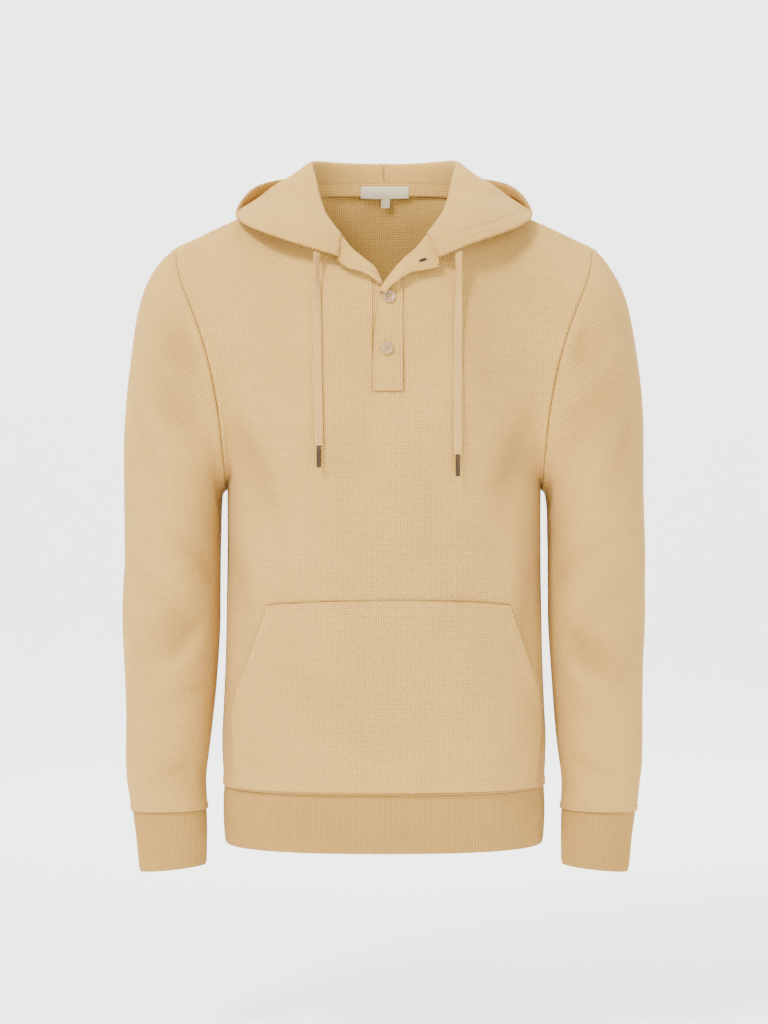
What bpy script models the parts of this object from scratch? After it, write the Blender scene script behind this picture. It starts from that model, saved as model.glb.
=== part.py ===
"""Half-button hoodie, worn: every cut and sewn piece is its own closed cloth wall.

Sizes are in millimetres, X to the viewer's right, Z up, the front faces -Y.
The origin is the middle of the neck at the height where the shoulders carry it.
"""
import math
from collections import namedtuple

import bmesh
import bpy
import numpy as np
from mathutils import Vector

MM = 0.001
SAND = (0.62, 0.45, 0.26)
CREAM = (0.80, 0.74, 0.64)
PEARL = (0.72, 0.62, 0.50)
GUNMETAL = (0.10, 0.07, 0.05)

# Driving sizes
WALL = 1.8                 # knitted cloth
TAPE_WALL = 1.0            # neck tape and labels
SEAM_GAP = 0.36            # between two pieces at a seam
LAID_GAP = 0.9             # under a piece that lies on a curved panel
MITRE_LIMIT = 1.6          # of a wall's thickness, where two pieces meet at an angle
RIB_RELIEF = 0.7
ARMPIT = -312.0
HEM_SEAM = -628.0
HEM_BOTTOM = -688.0
PLACKET_LEFT, PLACKET_RIGHT = -12.0, 20.0
SLOT_BOTTOM = -206.0
BUTTON_DIAMETER = 14.0
BUTTON_THICKNESS = 2.6
BUTTON_SIDES = 16
HOLE_PLACE, HOLE_DIAMETER = 1.45, 1.6
CORD_WIDTH, CORD_THICKNESS = 9.0, 2.0
TIP_DIAMETER, TIP_LENGTH = 4.4, 22.5

# Horizontal sections of the torso, from the hem seam up to the armpits
Torso = namedtuple("Torso", "height half_width front back roundness")
TORSO = [
    Torso(-628, 170.5, 118.0, 112.0, 2.5),
    Torso(-603, 172.5, 119.0, 113.0, 2.5),
    Torso(-560, 171.5, 118.5, 111.5, 2.5),
    Torso(-505, 169.0, 117.5, 110.0, 2.5),
    Torso(-445, 167.8, 117.5, 109.5, 2.45),
    Torso(-385, 167.0, 119.0, 112.5, 2.4),
    Torso(-345, 166.8, 120.5, 116.0, 2.4),
    Torso(-312, 167.0, 121.5, 118.0, 2.4),
]

# Depth of the body along the centre line, above the armpits
Centre = namedtuple("Centre", "height depth")
CENTRE_FRONT = [Centre(-312, 121.5), Centre(-265, 122.5), Centre(-215, 120.5), Centre(-165, 114.5),
                Centre(-125, 106.5), Centre(-88, 97.0)]
CENTRE_BACK = [Centre(-312, 118.0), Centre(-250, 120.0), Centre(-190, 117.5), Centre(-130, 110.0),
               Centre(-75, 96.0), Centre(-30, 80.0), Centre(12.6, 62.0)]

# Armhole seam, turned from the shoulder point (0) over the front to the armpit (180 degrees);
# the back half has its own depth
Armhole = namedtuple("Armhole", "turn across front back height")
ARMHOLE = [
    Armhole(0, 222.0, -2.0, 2.0, -55.0),
    Armhole(20, 221.0, 22.0, 24.0, -64.0),
    Armhole(40, 216.0, 45.0, 42.0, -89.0),
    Armhole(60, 203.0, 61.0, 56.0, -121.0),
    Armhole(80, 188.0, 73.0, 66.0, -162.0),
    Armhole(100, 177.5, 77.0, 71.0, -204.0),
    Armhole(120, 171.0, 74.0, 68.0, -245.0),
    Armhole(140, 168.2, 61.0, 56.0, -279.0),
    Armhole(160, 167.2, 35.0, 33.0, -303.0),
    Armhole(180, 167.0, 0.0, 0.0, -312.0),
]

# Rings of the sleeve: its outer and inner line seen from the front, its depth to the front and
# back, and how much of the armhole's own shape is left in it
Ring = namedtuple("Ring", "outer outer_height inner inner_height front back armhole")
SLEEVE = [
    Ring(222.0, -55, 167.0, -312, -77, 71, 1.00),
    Ring(233.5, -65, 171.3, -317, -81, 74, 0.80),
    Ring(244.0, -79, 173.2, -325, -83, 75, 0.60),
    Ring(254.0, -98, 173.8, -336, -84.5, 76, 0.40),
    Ring(262.5, -124, 174.0, -349, -85, 76, 0.22),
    Ring(269.0, -160, 174.1, -364, -84, 74, 0.10),
    Ring(273.0, -205, 174.2, -380, -82, 71, 0.0),
    Ring(275.5, -255, 174.2, -398, -80, 67, 0.0),
    Ring(277.0, -310, 174.5, -424, -78, 62, 0.0),
    Ring(278.0, -370, 175.0, -458, -75, 54, 0.0),
    Ring(277.8, -430, 177.5, -498, -73, 46, 0.0),
    Ring(277.0, -486, 180.5, -540, -71, 37, 0.0),
    Ring(275.0, -546, 184.0, -582, -69, 27, 0.0),
    Ring(272.8, -600, 188.0, -618, -66, 17, 0.0),
    Ring(269.8, -634, 187.5, -641, -62, 8, 0.0),
    Ring(267.0, -654, 187.0, -652, -58, 2, 0.0),
]
CUFF = [
    Ring(266.0, -654, 187.6, -652, -57, 1, 0.0),
    Ring(261.5, -681, 188.0, -678, -55, -2, 0.0),
    Ring(258.8, -717.5, 187.6, -710, -54, -4, 0.0),
]

# Stations of the hood from the front end (0) past the shoulder (3) to the centre back (6).
# A section runs from the neck seam over the roll and the crest, down to the bag's floor,
# out over its belly and up to the face edge.
Hood = namedtuple("Hood", "seam roll crest floor belly edge")
HOOD = [
    Hood((45, -80, -56), (44.5, -83, -51), (45, -90, -54), (46, -96, -61), (46.5, -99, -68), (47, -101, -75)),
    Hood((62, -68, -40), (57.5, -63, -33), (65, -75, -34), (74, -86, -42), (80, -93, -52), (86, -97, -63)),
    Hood((77, -42, -18), (66.5, -40, -14), (83, -47, -13), (100, -56, -21), (116, -62, -32), (131, -62, -44)),
    Hood((88, 2, 3), (74.5, -5, 20), (112, -2, 11), (134, 22, -1), (153, 10, -13), (158, -12, -23)),
    Hood((80, 34, 9), (77, 24, 39), (98, 39, 18), (122, 71, -50), (151, 60, -30), (143, 30, 12)),
    Hood((47, 56, 12), (48, 54, 42), (64, 75, 17), (74, 117, -118), (108, 124, -62), (100, 70, 29)),
    Hood((0, 62, 12.6), (0, 66, 43), (0, 86, 18), (0, 133, -172), (0, 157, -85), (0, 100, 37)),
]
HOOD_STEPS = (3, 4, 4, 3, 4)           # cells between two neighbouring points of a section
FRONT_NECK_CELLS, BACK_NECK_CELLS = 5, 6
SHOULDER_CELLS = 5
ARM_STEPS = 12                         # rows of the body between armpit and shoulder point
BODY_ROWS = 7
SHOULDER_BOW = 3.0
RELAX_ROUNDS = 14
CHEST_FULLNESS = 5.5

# Line along which the fronts are folded out, from the foot of the V to the neck seam
Fold = namedtuple("Fold", "across front height")
ROLL_LINE = [Fold(12, 99.0, -88.6), Fold(22, 95.5, -81.0), Fold(33.5, 89.5, -70.5), Fold(45, 80.0, -56.0)]

# Folded-out facings: fold line and free edge, one row for each section
Facing = namedtuple("Facing", "fold edge")
FACING_LEFT = [
    Facing((-3.0, -101.4, -101.5), (-2.0, -106.5, -104.5)),
    Facing((-12.0, -99.0, -88.6), (-15.0, -107.0, -95.5)),
    Facing((-22.0, -95.5, -81.0), (-25.0, -106.0, -91.0)),
    Facing((-33.5, -89.5, -70.5), (-36.0, -103.0, -88.0)),
    Facing((-44.4, -80.6, -56.8), (-46.5, -100.0, -81.5)),
]
FACING_RIGHT = [
    Facing((-2.5, -108.2, -111.5), (0.5, -112.4, -113.5)),
    Facing((3.5, -105.6, -103.0), (8.0, -112.0, -106.0)),
    Facing((12.0, -102.2, -92.5), (17.0, -110.0, -99.0)),
    Facing((22.0, -96.5, -81.5), (28.0, -107.0, -92.5)),
    Facing((33.5, -89.8, -70.8), (42.0, -104.0, -90.0)),
    Facing((44.4, -80.6, -56.8), (56.5, -101.0, -86.5)),
]
FACING_ROLL = 2.9                      # radius of the fold
FACING_BULGE = 2.0
HOOD_FRONT_END = {-1: (47, -101, -75), 1: (56.5, -98.5, -76)}

# Placket strips: free or sewn edges at each height
Strip = namedtuple("Strip", "left left_height right right_height sag")
PLACKET_OVER = [
    Strip(-12.0, -214.5, 20.0, -214.5, 0), Strip(-12.0, -198, 20.0, -198, 0),
    Strip(-11.6, -180, 20.0, -180, 0), Strip(-10.8, -162, 20.0, -160, 0),
    Strip(-9.4, -144, 20.0, -138, 0), Strip(-7.2, -127, 20.0, -116, 0),
    Strip(-3.6, -114, 20.0, -100, 0), Strip(-2.6, -112.3, 20.0, -86.5, 0),
]
PLACKET_UNDER = [
    Strip(-11.6, -205.6, 19.6, -205.6, 0), Strip(-11.6, -180, 19.6, -180, 0),
    Strip(-11.6, -155, 19.6, -158, 0), Strip(-11.6, -130, 19.6, -140, 1.0),
    Strip(-11.6, -106, 19.6, -126, 3.5), Strip(-11.6, -90.2, 19.6, -116, 7.0),
]

# Neck tape: its edges as shares of the first cell of the stand, and its distance off the cloth
TAPE_SHARES = (0.1, 0.45, 0.8)
TAPE_GAP = 1.3

# Buttons: the top one is under the folded-out left facing
Button = namedtuple("Button", "name across height lift")
BUTTONS = [Button("button_top", -34.0, -81.5, 0.45), Button("button_middle", 5.1, -117.5, 2.7),
           Button("button_low", 2.8, -171.0, 2.7)]

# Pocket: its side edges at each height
Pocket = namedtuple("Pocket", "height left right")
POCKET = [
    Pocket(-626.0, -152.0, 156.0), Pocket(-600.0, -155.0, 159.0), Pocket(-572.0, -157.0, 162.0),
    Pocket(-545.0, -157.5, 163.0), Pocket(-516.0, -148.0, 156.0), Pocket(-488.0, -137.5, 147.0),
    Pocket(-460.0, -128.0, 137.5), Pocket(-433.5, -120.0, 129.5),
]
POCKET_COLUMNS = 20
POCKET_TOP_RISE = 5.5
POCKET_FULLNESS = 2.0

# Largest folds of the sleeves: a line on the front or back, how wide and how deep
Crease = namedtuple("Crease", "side start end width depth")
CREASES = [
    Crease(-1, (-224, -76, -148), (-184, -82, -188), 22, 5.0),
    Crease(1, (226, -76, -146), (198, -82, -180), 22, 4.5),
    Crease(-1, (-238, -72, -196), (-196, -84, -250), 26, 4.0),
    Crease(1, (240, -72, -205), (190, -84, -262), 26, 4.0),
    Crease(-1, (-236, 66, -150), (-190, 72, -205), 26, 4.5),
    Crease(1, (238, 66, -158), (192, 72, -214), 26, 4.5),
    Crease(-1, (-196, -70, -452), (-246, -62, -478), 24, 3.5),
    Crease(1, (192, -70, -466), (240, -64, -500), 24, 3.5),
]

# Drawcords: where each leaves the casing, how far its middle is off the front and how far it is
# turned out of the flat as it falls
Cord = namedtuple("Cord", "side route")
Lie = namedtuple("Lie", "across height lift turned")
CORDS = [
    Cord("left", [Lie(-69.0, -66, 22.0, 20), Lie(-69.0, -76, 21.0, 46), Lie(-69.2, -88, 16.5, 58),
                  Lie(-69.0, -112, 7.5, 32), Lie(-68.4, -145, 3.6, 5), Lie(-67.8, -185, 3.2, 0),
                  Lie(-67.0, -225, 3.3, 0), Lie(-66.4, -270, 4.0, 0)]),
    Cord("right", [Lie(77.0, -66, 23.0, -12), Lie(77.0, -76, 22.0, -40), Lie(77.0, -88, 16.5, -52),
                   Lie(76.6, -112, 8.0, -40), Lie(76.0, -145, 3.8, -8), Lie(75.4, -188, 3.2, 0),
                   Lie(75.2, -232, 3.3, 0), Lie(75.4, -279, 4.0, 0)]),
]
CORD_POINTS = 27
CORD_START = 2.2                       # below the casing's edge, which slants across the cord
CORD_FLAT = 90.0                       # tilt at which the cord lies flat to the front


def clear_scene():
    for item in list(bpy.data.objects):
        bpy.data.objects.remove(item, do_unlink=True)


def material(name, colour, roughness, metallic=0.0):
    """One Principled material; made once and then shared."""
    made = bpy.data.materials.get(name)
    if made is None:
        made = bpy.data.materials.new(name)
        made.use_nodes = True
        shader = made.node_tree.nodes["Principled BSDF"]
        shader.inputs["Base Color"].default_value = (*colour, 1.0)
        shader.inputs["Roughness"].default_value = roughness
        shader.inputs["Metallic"].default_value = metallic
    return made


def add_object(name, data, surface, collection):
    item = bpy.data.objects.new(name, data)
    data.materials.append(surface)
    collection.objects.link(item)
    return item


def through(keys, values, at):
    """Smooth curve through a table: cubic pieces whose slopes follow the neighbouring rows."""
    keys = np.asarray(keys, float)
    values = np.asarray(values, float)
    at = np.asarray(at, float)
    slopes = np.gradient(values, keys, axis=0)
    row = np.clip(np.searchsorted(keys, at, side="right") - 1, 0, len(keys) - 2)
    span = keys[row + 1] - keys[row]
    part = (at - keys[row]) / span
    if values.ndim > 1:
        span, part = span[..., None], part[..., None]
    start = (1 + 2 * part) * (1 - part) ** 2 * values[row]
    end = part ** 2 * (3 - 2 * part) * values[row + 1]
    lean = part * (1 - part) * span * ((1 - part) * slopes[row] - part * slopes[row + 1])
    return start + end + lean


def resample(line, cells):
    """Points spaced evenly along a line; its two ends stay exactly where they are."""
    line = np.asarray(line, float)
    steps = np.linalg.norm(np.diff(line, axis=0), axis=1)
    run = np.concatenate([[0.0], np.cumsum(steps)])
    at = np.linspace(0.0, run[-1], cells + 1)
    even = np.stack([np.interp(at, run, line[:, k]) for k in range(3)], axis=1)
    even[0], even[-1] = line[0], line[-1]
    return even


def mirrored(points, side):
    """The same points on the viewer's left (-1) or right (1)."""
    return np.asarray(points, float) * np.array([side, 1.0, 1.0])


# ---- surfaces -------------------------------------------------------------------------------

def torso_size(height):
    """Half width, front depth, back depth and roundness of the section at a height."""
    keys = [row.height for row in TORSO]
    return through(keys, [row[1:] for row in TORSO], height)


def torso_quarter(height, start, face):
    """Section from near the centre line to the side seam; face is -1 for the front."""
    half_width, front, back, roundness = torso_size(height)
    depth = front if face < 0 else back
    first = math.asin((start / half_width) ** (roundness / 2))
    turn = np.linspace(first, math.pi / 2, 160)
    across = half_width * np.sin(turn) ** (2 / roundness)
    deep = depth * np.maximum(np.cos(turn), 0.0) ** (2 / roundness)
    deep[-1] = 0.0
    return np.stack([across, face * deep, np.full_like(across, height)], axis=1)


def armhole(turn):
    """Armhole seam of the right-hand side; 0 to 180 runs over the front, 180 to 360 the back."""
    turn = np.asarray(turn, float) % 360
    front = turn <= 180
    way = np.where(front, turn, 360 - turn)
    keys = [row.turn for row in ARMHOLE]
    across = through(keys, [row.across for row in ARMHOLE], way)
    height = through(keys, [row.height for row in ARMHOLE], way)
    front_depth = -through(keys, [row.front for row in ARMHOLE], way)
    back_depth = through(keys, [row.back for row in ARMHOLE], way)
    return np.stack([across, np.where(front, front_depth, back_depth), height], axis=-1)


def hood_column(name, station):
    """One line along the hood, mirrored past the centre back so that it stays smooth there."""
    rows = [getattr(row, name) for row in HOOD]
    last = mirrored(rows[-2], -1)
    return through(range(len(rows) + 1), [*rows, last], station)


def shoulder_seam():
    """From the neck to the shoulder point, slightly bowed up."""
    neck = hood_column("seam", 3.0)
    point = armhole(0.0)
    share = np.linspace(0.0, 1.0, SHOULDER_CELLS + 1)[:, None]
    line = neck + (point - neck) * share
    line[:, 2] += SHOULDER_BOW * 4 * (share * (1 - share))[:, 0]
    return line


def top_line(face):
    """Upper edge of a body half: fold line, neck seam and shoulder seam."""
    if face < 0:
        roll = [(row.across, -row.front, row.height) for row in ROLL_LINE]
        neck = hood_column("seam", np.linspace(0.0, 3.0, FRONT_NECK_CELLS + 1))
        return np.concatenate([roll[:-1], neck, shoulder_seam()[1:]])
    neck = hood_column("seam", np.linspace(6.0, 3.0, BACK_NECK_CELLS + 1))
    return np.concatenate([neck, shoulder_seam()[1:]])


def coons(bottom, top, start, end):
    """Patch between four edges that share their corners."""
    across = np.linspace(0.0, 1.0, len(bottom))[None, :, None]
    up = np.linspace(0.0, 1.0, len(start))[:, None, None]
    rows = (1 - up) * bottom[None] + up * top[None]
    columns = (1 - across) * start[:, None] + across * end[:, None]
    corners = ((1 - up) * ((1 - across) * bottom[0] + across * bottom[-1])
               + up * ((1 - across) * top[0] + across * top[-1]))
    return rows + columns - corners


def relaxed(grid):
    """Even out a patch inside its edges, as cloth does, and keep its chest full."""
    grid = grid.copy()
    for _ in range(RELAX_ROUNDS):
        around = (grid[:-2, 1:-1] + grid[2:, 1:-1] + grid[1:-1, :-2] + grid[1:-1, 2:]) / 4
        grid[1:-1, 1:-1] += (around - grid[1:-1, 1:-1]) * 0.5
    up = np.sin(np.linspace(0, math.pi, grid.shape[0]))[:, None]
    across = np.sin(np.linspace(0, math.pi, grid.shape[1]))[None]
    grid[..., 1] += np.sign(grid[..., 1]) * CHEST_FULLNESS * up * across
    return grid


def body_half(face, start):
    """Grid of a right-hand body half, rows from the hem seam up, columns out to the side."""
    top = top_line(face)
    cells = len(top) - 1
    heights = np.linspace(HEM_SEAM, ARMPIT, BODY_ROWS + 1)
    lower = [resample(torso_quarter(height, max(start, 0.01), face), cells) for height in heights]
    for row in lower:
        row[0, 0] = start
    top[0, 0] = start
    table = CENTRE_FRONT if face < 0 else CENTRE_BACK
    middle = SLOT_BOTTOM if face < 0 else (ARMPIT + top[0, 2]) / 2
    rise = np.concatenate([np.linspace(ARMPIT, middle, ARM_STEPS // 2 + 1),
                           np.linspace(middle, top[0, 2], ARM_STEPS // 2 + 1)[1:]])
    depth = through([row.height for row in table], [row.depth for row in table], rise)
    centre = np.stack([np.full_like(rise, start), face * depth, rise], axis=1)
    centre[0], centre[-1] = lower[-1][0], top[0]
    turn = np.linspace(180, 0, ARM_STEPS + 1) if face < 0 else np.linspace(180, 360, ARM_STEPS + 1)
    edge = armhole(turn)
    edge[0] = lower[-1][-1]
    upper = relaxed(coons(lower[-1], top, centre, edge))
    return np.concatenate([np.array(lower), upper[1:]])


def front_grid():
    """Whole front; the middle columns run over the placket."""
    right = body_half(-1, PLACKET_RIGHT)
    left = mirrored(body_half(-1, -PLACKET_LEFT), -1)[:, ::-1]
    middle = (left[:, -1:] + right[:, :1]) / 2
    return np.concatenate([left, middle, right], axis=1)


def back_grid():
    """Whole back, columns from the viewer's right round to the left, so that it faces out."""
    right = body_half(1, 0.0)
    left = mirrored(right, -1)
    return np.concatenate([right[:, ::-1], left[:, 1:]], axis=1)


def ring_points(ring, turn):
    """Closed ring of a sleeve or cuff at the given turns, right-hand side."""
    outer = np.array([ring.outer, 0.0, ring.outer_height])
    inner = np.array([ring.inner, 0.0, ring.inner_height])
    way = np.radians(turn)[:, None]
    depth = np.where(np.sin(way) >= 0, -ring.front, ring.back)
    middle = (ring.front + ring.back) / 2
    even = (ring.back - ring.front) / 2
    blend = 1.0 if ring.armhole == 0 else 0.0
    half = even * blend + depth * (1 - blend)
    shift = np.array([0.0, middle * blend, 0.0])
    round_ring = (outer + inner) / 2 + (outer - inner) / 2 * np.cos(way) + shift
    return round_ring + np.array([0.0, -1.0, 0.0]) * half * np.sin(way)


def sleeve_grid(side):
    """Rings from the armhole down to the cuff seam."""
    turn = np.arange(0, 360, 180 / ARM_STEPS)
    seam = armhole(turn)
    own = seam - ring_points(SLEEVE[0], turn)
    rings = [ring_points(row, turn) + own * row.armhole for row in SLEEVE]
    rings[0] = seam
    grid = mirrored(np.array(rings), side)
    return grid if side > 0 else grid[:, ::-1]


def hood_grid(side):
    """Half of the hood on its outer face: rows from the neck seam to the face edge."""
    front = np.linspace(0.0, 3.0, FRONT_NECK_CELLS + 1)
    back = np.linspace(3.0, 6.0, BACK_NECK_CELLS + 1)
    columns = []
    for station in np.concatenate([front, back[1:]]):
        section = np.array([hood_column(name, station) for name in Hood._fields])
        steps = np.linalg.norm(np.diff(section, axis=0), axis=1)
        run = np.concatenate([[0.0], np.cumsum(steps)])
        at = [np.linspace(run[k], run[k + 1], count, endpoint=False) for k, count in enumerate(HOOD_STEPS)]
        columns.append(through(run, section, np.concatenate([*at, run[-1:]])))
    grid = np.array(columns).transpose(1, 0, 2)
    grid[0, 0] = (ROLL_LINE[-1].across, -ROLL_LINE[-1].front, ROLL_LINE[-1].height)
    share = np.linspace(0.0, 1.0, len(grid))[:, None] ** 2
    grid[:, 0] += share * (np.array(HOOD_FRONT_END[side]) - grid[-1, 0])
    grid[:, 1] += share * 0.45 * (np.array(HOOD_FRONT_END[side]) - np.array(HOOD[0].edge))
    grid = mirrored(grid, side)
    return grid if side > 0 else grid[:, ::-1]


# ---- walls ----------------------------------------------------------------------------------

def grid_quads(rows, columns, closed=False, skip=()):
    """Cells of a grid as quads that face out when rows rise and columns run to the right."""
    quads = []
    for row in range(rows - 1):
        for column in range(columns if closed else columns - 1):
            if (row, column) in skip:
                continue
            after = (column + 1) % columns
            quads.append((row * columns + column, row * columns + after,
                          (row + 1) * columns + after, (row + 1) * columns + column))
    return quads


def place_key(point):
    return tuple(np.round(np.asarray(point) * 10).astype(int))


class Seams:
    """What neighbouring pieces share by place: their normals and the way each draws in."""

    def __init__(self):
        self.normals = {}
        self.inward = {}

    def add(self, name, grid, closed=False, skip=()):
        points = grid.reshape(-1, 3)
        quads = grid_quads(*grid.shape[:2], closed, skip)
        own = {}
        for quad in quads:
            a, b, c, d = points[list(quad)]
            normal = np.cross(c - a, d - b)
            normal /= np.linalg.norm(normal)
            for k, corner in enumerate(quad):
                ahead = points[quad[(k + 1) % 4]] - points[corner]
                behind = points[quad[k - 1]] - points[corner]
                cosine = ahead @ behind / (np.linalg.norm(ahead) * np.linalg.norm(behind))
                angle = math.acos(max(-1.0, min(1.0, cosine)))
                key = place_key(points[corner])
                total, turned = own.get(key, (np.zeros(3), 0.0))
                own[key] = (total + normal * angle, turned + angle)
        for key, (total, turned) in own.items():
            unit = total / np.linalg.norm(total)
            self.normals.setdefault(key, []).append((unit * turned, turned))
        border = {}
        for start, end, quad in border_edges(quads):
            way = points[list(quad)].mean(axis=0) - (points[start] + points[end]) / 2
            along = points[end] - points[start]
            way -= along * (way @ along) / (along @ along)
            for corner in (start, end):
                key = place_key(points[corner])
                border[key] = border.get(key, np.zeros(3)) + way / np.linalg.norm(way)
        for key, way in border.items():
            self.inward.setdefault(key, {})[name] = way / max(np.linalg.norm(way), 1e-9)

    def normal(self, point):
        """Shared unit normal, and how much longer the wall's mitre is than the wall."""
        found = self.normals[place_key(point)]
        mean = sum(normal for normal, _ in found) / sum(turned for _, turned in found)
        size = np.linalg.norm(mean)
        return mean / size, min(1.0 / size, MITRE_LIMIT)

    def draw_in(self, name, point):
        """Unit way in which a piece leaves its neighbours at a seam point, or None inside it."""
        ways = self.inward.get(place_key(point), {})
        if name not in ways:
            return None
        others = [way for other, way in ways.items() if other != name]
        way = ways[name] - (np.mean(others, axis=0) if others else 0.0)
        normal, _ = self.normal(point)
        flat = way - normal * (way @ normal)
        return flat / max(np.linalg.norm(flat), 1e-9)


def border_edges(quads):
    """Edges that only one quad uses, with that quad."""
    uses = {}
    for quad in quads:
        for k in range(4):
            start, end = quad[k], quad[(k + 1) % 4]
            uses.setdefault(frozenset((start, end)), []).append((start, end, quad))
    return [found[0] for found in uses.values() if len(found) == 1]


def cloth_wall(name, grid, surface, collection, seams=None, closed=False, skip=(), wall=WALL,
               trim=SEAM_GAP / 2):
    """Closed wall of cloth on a grid of its outer points; the inside lies one wall further in."""
    if seams is None:
        seams = Seams()
        seams.add(name, grid, closed, skip)
    quads = grid_quads(*grid.shape[:2], closed, skip)
    used = sorted({corner for quad in quads for corner in quad})
    renumber = {old: new for new, old in enumerate(used)}
    quads = [tuple(renumber[corner] for corner in quad) for quad in quads]
    outer = grid.reshape(-1, 3)[used].copy()
    inner = np.empty_like(outer)
    for number, point in enumerate(outer.copy()):
        normal, mitre = seams.normal(point)
        way = seams.draw_in(name, point)
        if way is not None:
            outer[number] += way * trim * mitre ** 2
        inner[number] = outer[number] - normal * wall * mitre
    count = len(outer)
    faces = list(quads) + [tuple(corner + count for corner in reversed(quad)) for quad in quads]
    faces += [(end, start, start + count, end + count) for start, end, _ in border_edges(quads)]
    mesh = bpy.data.meshes.new(name)
    mesh.from_pydata((np.concatenate([outer, inner]) * MM).tolist(), [], faces)
    mesh.shade_smooth()
    mesh.set_sharp_from_angle(angle=math.radians(50))
    return add_object(name, mesh, surface, collection)


def ribbed_band(name, rings, ribs, plain, surface, collection):
    """Band with ribs raised in its outer points over a plain inside; rings run top to bottom."""
    each = 2 * ribs // plain
    outer, inner = [], []
    for ring in rings:
        loop = resample(np.concatenate([ring, ring[:1]]), 2 * ribs)[:-1]
        along = np.roll(loop, -1, axis=0) - np.roll(loop, 1, axis=0)
        outward = np.cross(along, np.array([0.0, 0.0, 1.0]))
        outward /= np.linalg.norm(outward, axis=1)[:, None]
        groove = (np.arange(2 * ribs) % 2)[:, None] * RIB_RELIEF
        outer.append(loop - outward * groove)
        inner.append(loop[::each] - outward[::each] * (WALL + RIB_RELIEF))
    rows, around = len(rings), 2 * ribs
    points = np.concatenate([*outer, *inner])
    base = rows * around
    faces = []
    for row in range(rows - 1):
        for column in range(around):
            after = (column + 1) % around
            low, high = (row + 1) * around, row * around
            faces.append((low + column, low + after, high + after, high + column))
        for column in range(plain):
            after = (column + 1) % plain
            low, high = base + (row + 1) * plain, base + row * plain
            faces.append((high + column, high + after, low + after, low + column))
    for column in range(plain):
        after = (column + 1) % plain
        teeth = [(column * each + k) % around for k in range(each + 1)]
        faces.append((base + after, base + column, *teeth))
        low = (rows - 1) * around
        last = base + (rows - 1) * plain
        faces.append((last + column, last + after, *[low + tooth for tooth in reversed(teeth)]))
    mesh = bpy.data.meshes.new(name)
    mesh.from_pydata((points * MM).tolist(), [], faces)
    return add_object(name, mesh, surface, collection)


def creased(grid, side):
    """Press the largest folds of a sleeve into its grid."""
    points = grid.copy()
    axis = points.mean(axis=1, keepdims=True)
    for crease in CREASES:
        if crease.side != side:
            continue
        start, end = np.array(crease.start, float), np.array(crease.end, float)
        along = end - start
        share = np.clip(((points - start) @ along) / (along @ along), 0.0, 1.0)
        distance = np.linalg.norm(points - start - share[..., None] * along, axis=2)
        amount = crease.depth * np.exp(-(distance / crease.width) ** 2)
        amount[0] = 0.0
        inward = axis - points
        inward /= np.linalg.norm(inward, axis=2, keepdims=True)
        points += inward * amount[..., None]
    return points


# ---- pieces ---------------------------------------------------------------------------------

def strip_grid(rows, front, lift, columns):
    """Placket strip made from the two edges of the front's slot, moved out."""
    half = front.shape[1] // 2
    left, right = front[:, half - 1], front[:, half + 1]
    lines = []
    for row in rows:
        share = np.linspace(0.0, 1.0, columns + 1)
        across = row.left + (row.right - row.left) * share
        height = row.left_height + (row.right_height - row.left_height) * share
        height -= row.sag * np.sin(math.pi * share)
        part = (across - PLACKET_LEFT) / (PLACKET_RIGHT - PLACKET_LEFT)
        deep = ((1 - part) * np.interp(height, left[:, 2], left[:, 1])
                + part * np.interp(height, right[:, 2], right[:, 1]))
        lines.append(np.stack([across, deep - lift, height], axis=1))
    return np.array(lines)


def facing_grid(rows):
    """Lapel: from the fold line round a small roll, then down to the free edge."""
    lines = []
    for row in rows:
        fold, edge = np.array(row.fold, float), np.array(row.edge, float)
        way = edge - fold
        way[1] = 0.0
        reach = np.linalg.norm(way)
        out = way / reach
        radius = min(FACING_ROLL, reach * 0.3)
        toward = np.array([0.0, -1.0, 0.0])
        roll = [fold - out * (0.2 + radius * math.sin(turn)) + toward * radius * (1 - math.cos(turn))
                for turn in np.radians([0, 45, 90, 135, 180])]
        rest = [roll[-1] + (edge - roll[-1]) * share + toward * FACING_BULGE * math.sin(math.pi * share)
                for share in (0.33, 0.67, 1.0)]
        lines.append(roll + rest)
    return np.array(lines).transpose(1, 0, 2)


def depth_at(grid, across, height):
    """Foremost depth of a surface at a place seen from the front."""
    cells = np.stack([grid[:-1, :-1], grid[:-1, 1:], grid[1:, 1:], grid[1:, :-1]], axis=2)
    cells = cells.reshape(-1, 4, 3)
    corner = np.concatenate([cells[:, 0], cells[:, 0]])
    first = np.concatenate([cells[:, 1], cells[:, 2]]) - corner
    second = np.concatenate([cells[:, 2], cells[:, 3]]) - corner
    area = first[:, 0] * second[:, 2] - first[:, 2] * second[:, 0]
    area[np.abs(area) < 1e-9] = 1e-9
    off_x, off_z = across - corner[:, 0], height - corner[:, 2]
    u = (off_x * second[:, 2] - off_z * second[:, 0]) / area
    v = (first[:, 0] * off_z - first[:, 2] * off_x) / area
    hit = (u > -1e-6) & (v > -1e-6) & (u + v < 1 + 1e-6)
    return (corner[hit, 1] + u[hit] * first[hit, 1] + v[hit] * second[hit, 1]).min()


def lying_on(grid, across, height, lift, reach=4.0):
    """Point over a surface seen from the front, and the way the surface faces there."""
    slope_x = depth_at(grid, across + reach, height) - depth_at(grid, across - reach, height)
    slope_z = depth_at(grid, across, height + reach) - depth_at(grid, across, height - reach)
    normal = np.array([slope_x / (2 * reach), -1.0, slope_z / (2 * reach)])
    normal /= np.linalg.norm(normal)
    return np.array([across, depth_at(grid, across, height), height]) + normal * lift, normal


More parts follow.
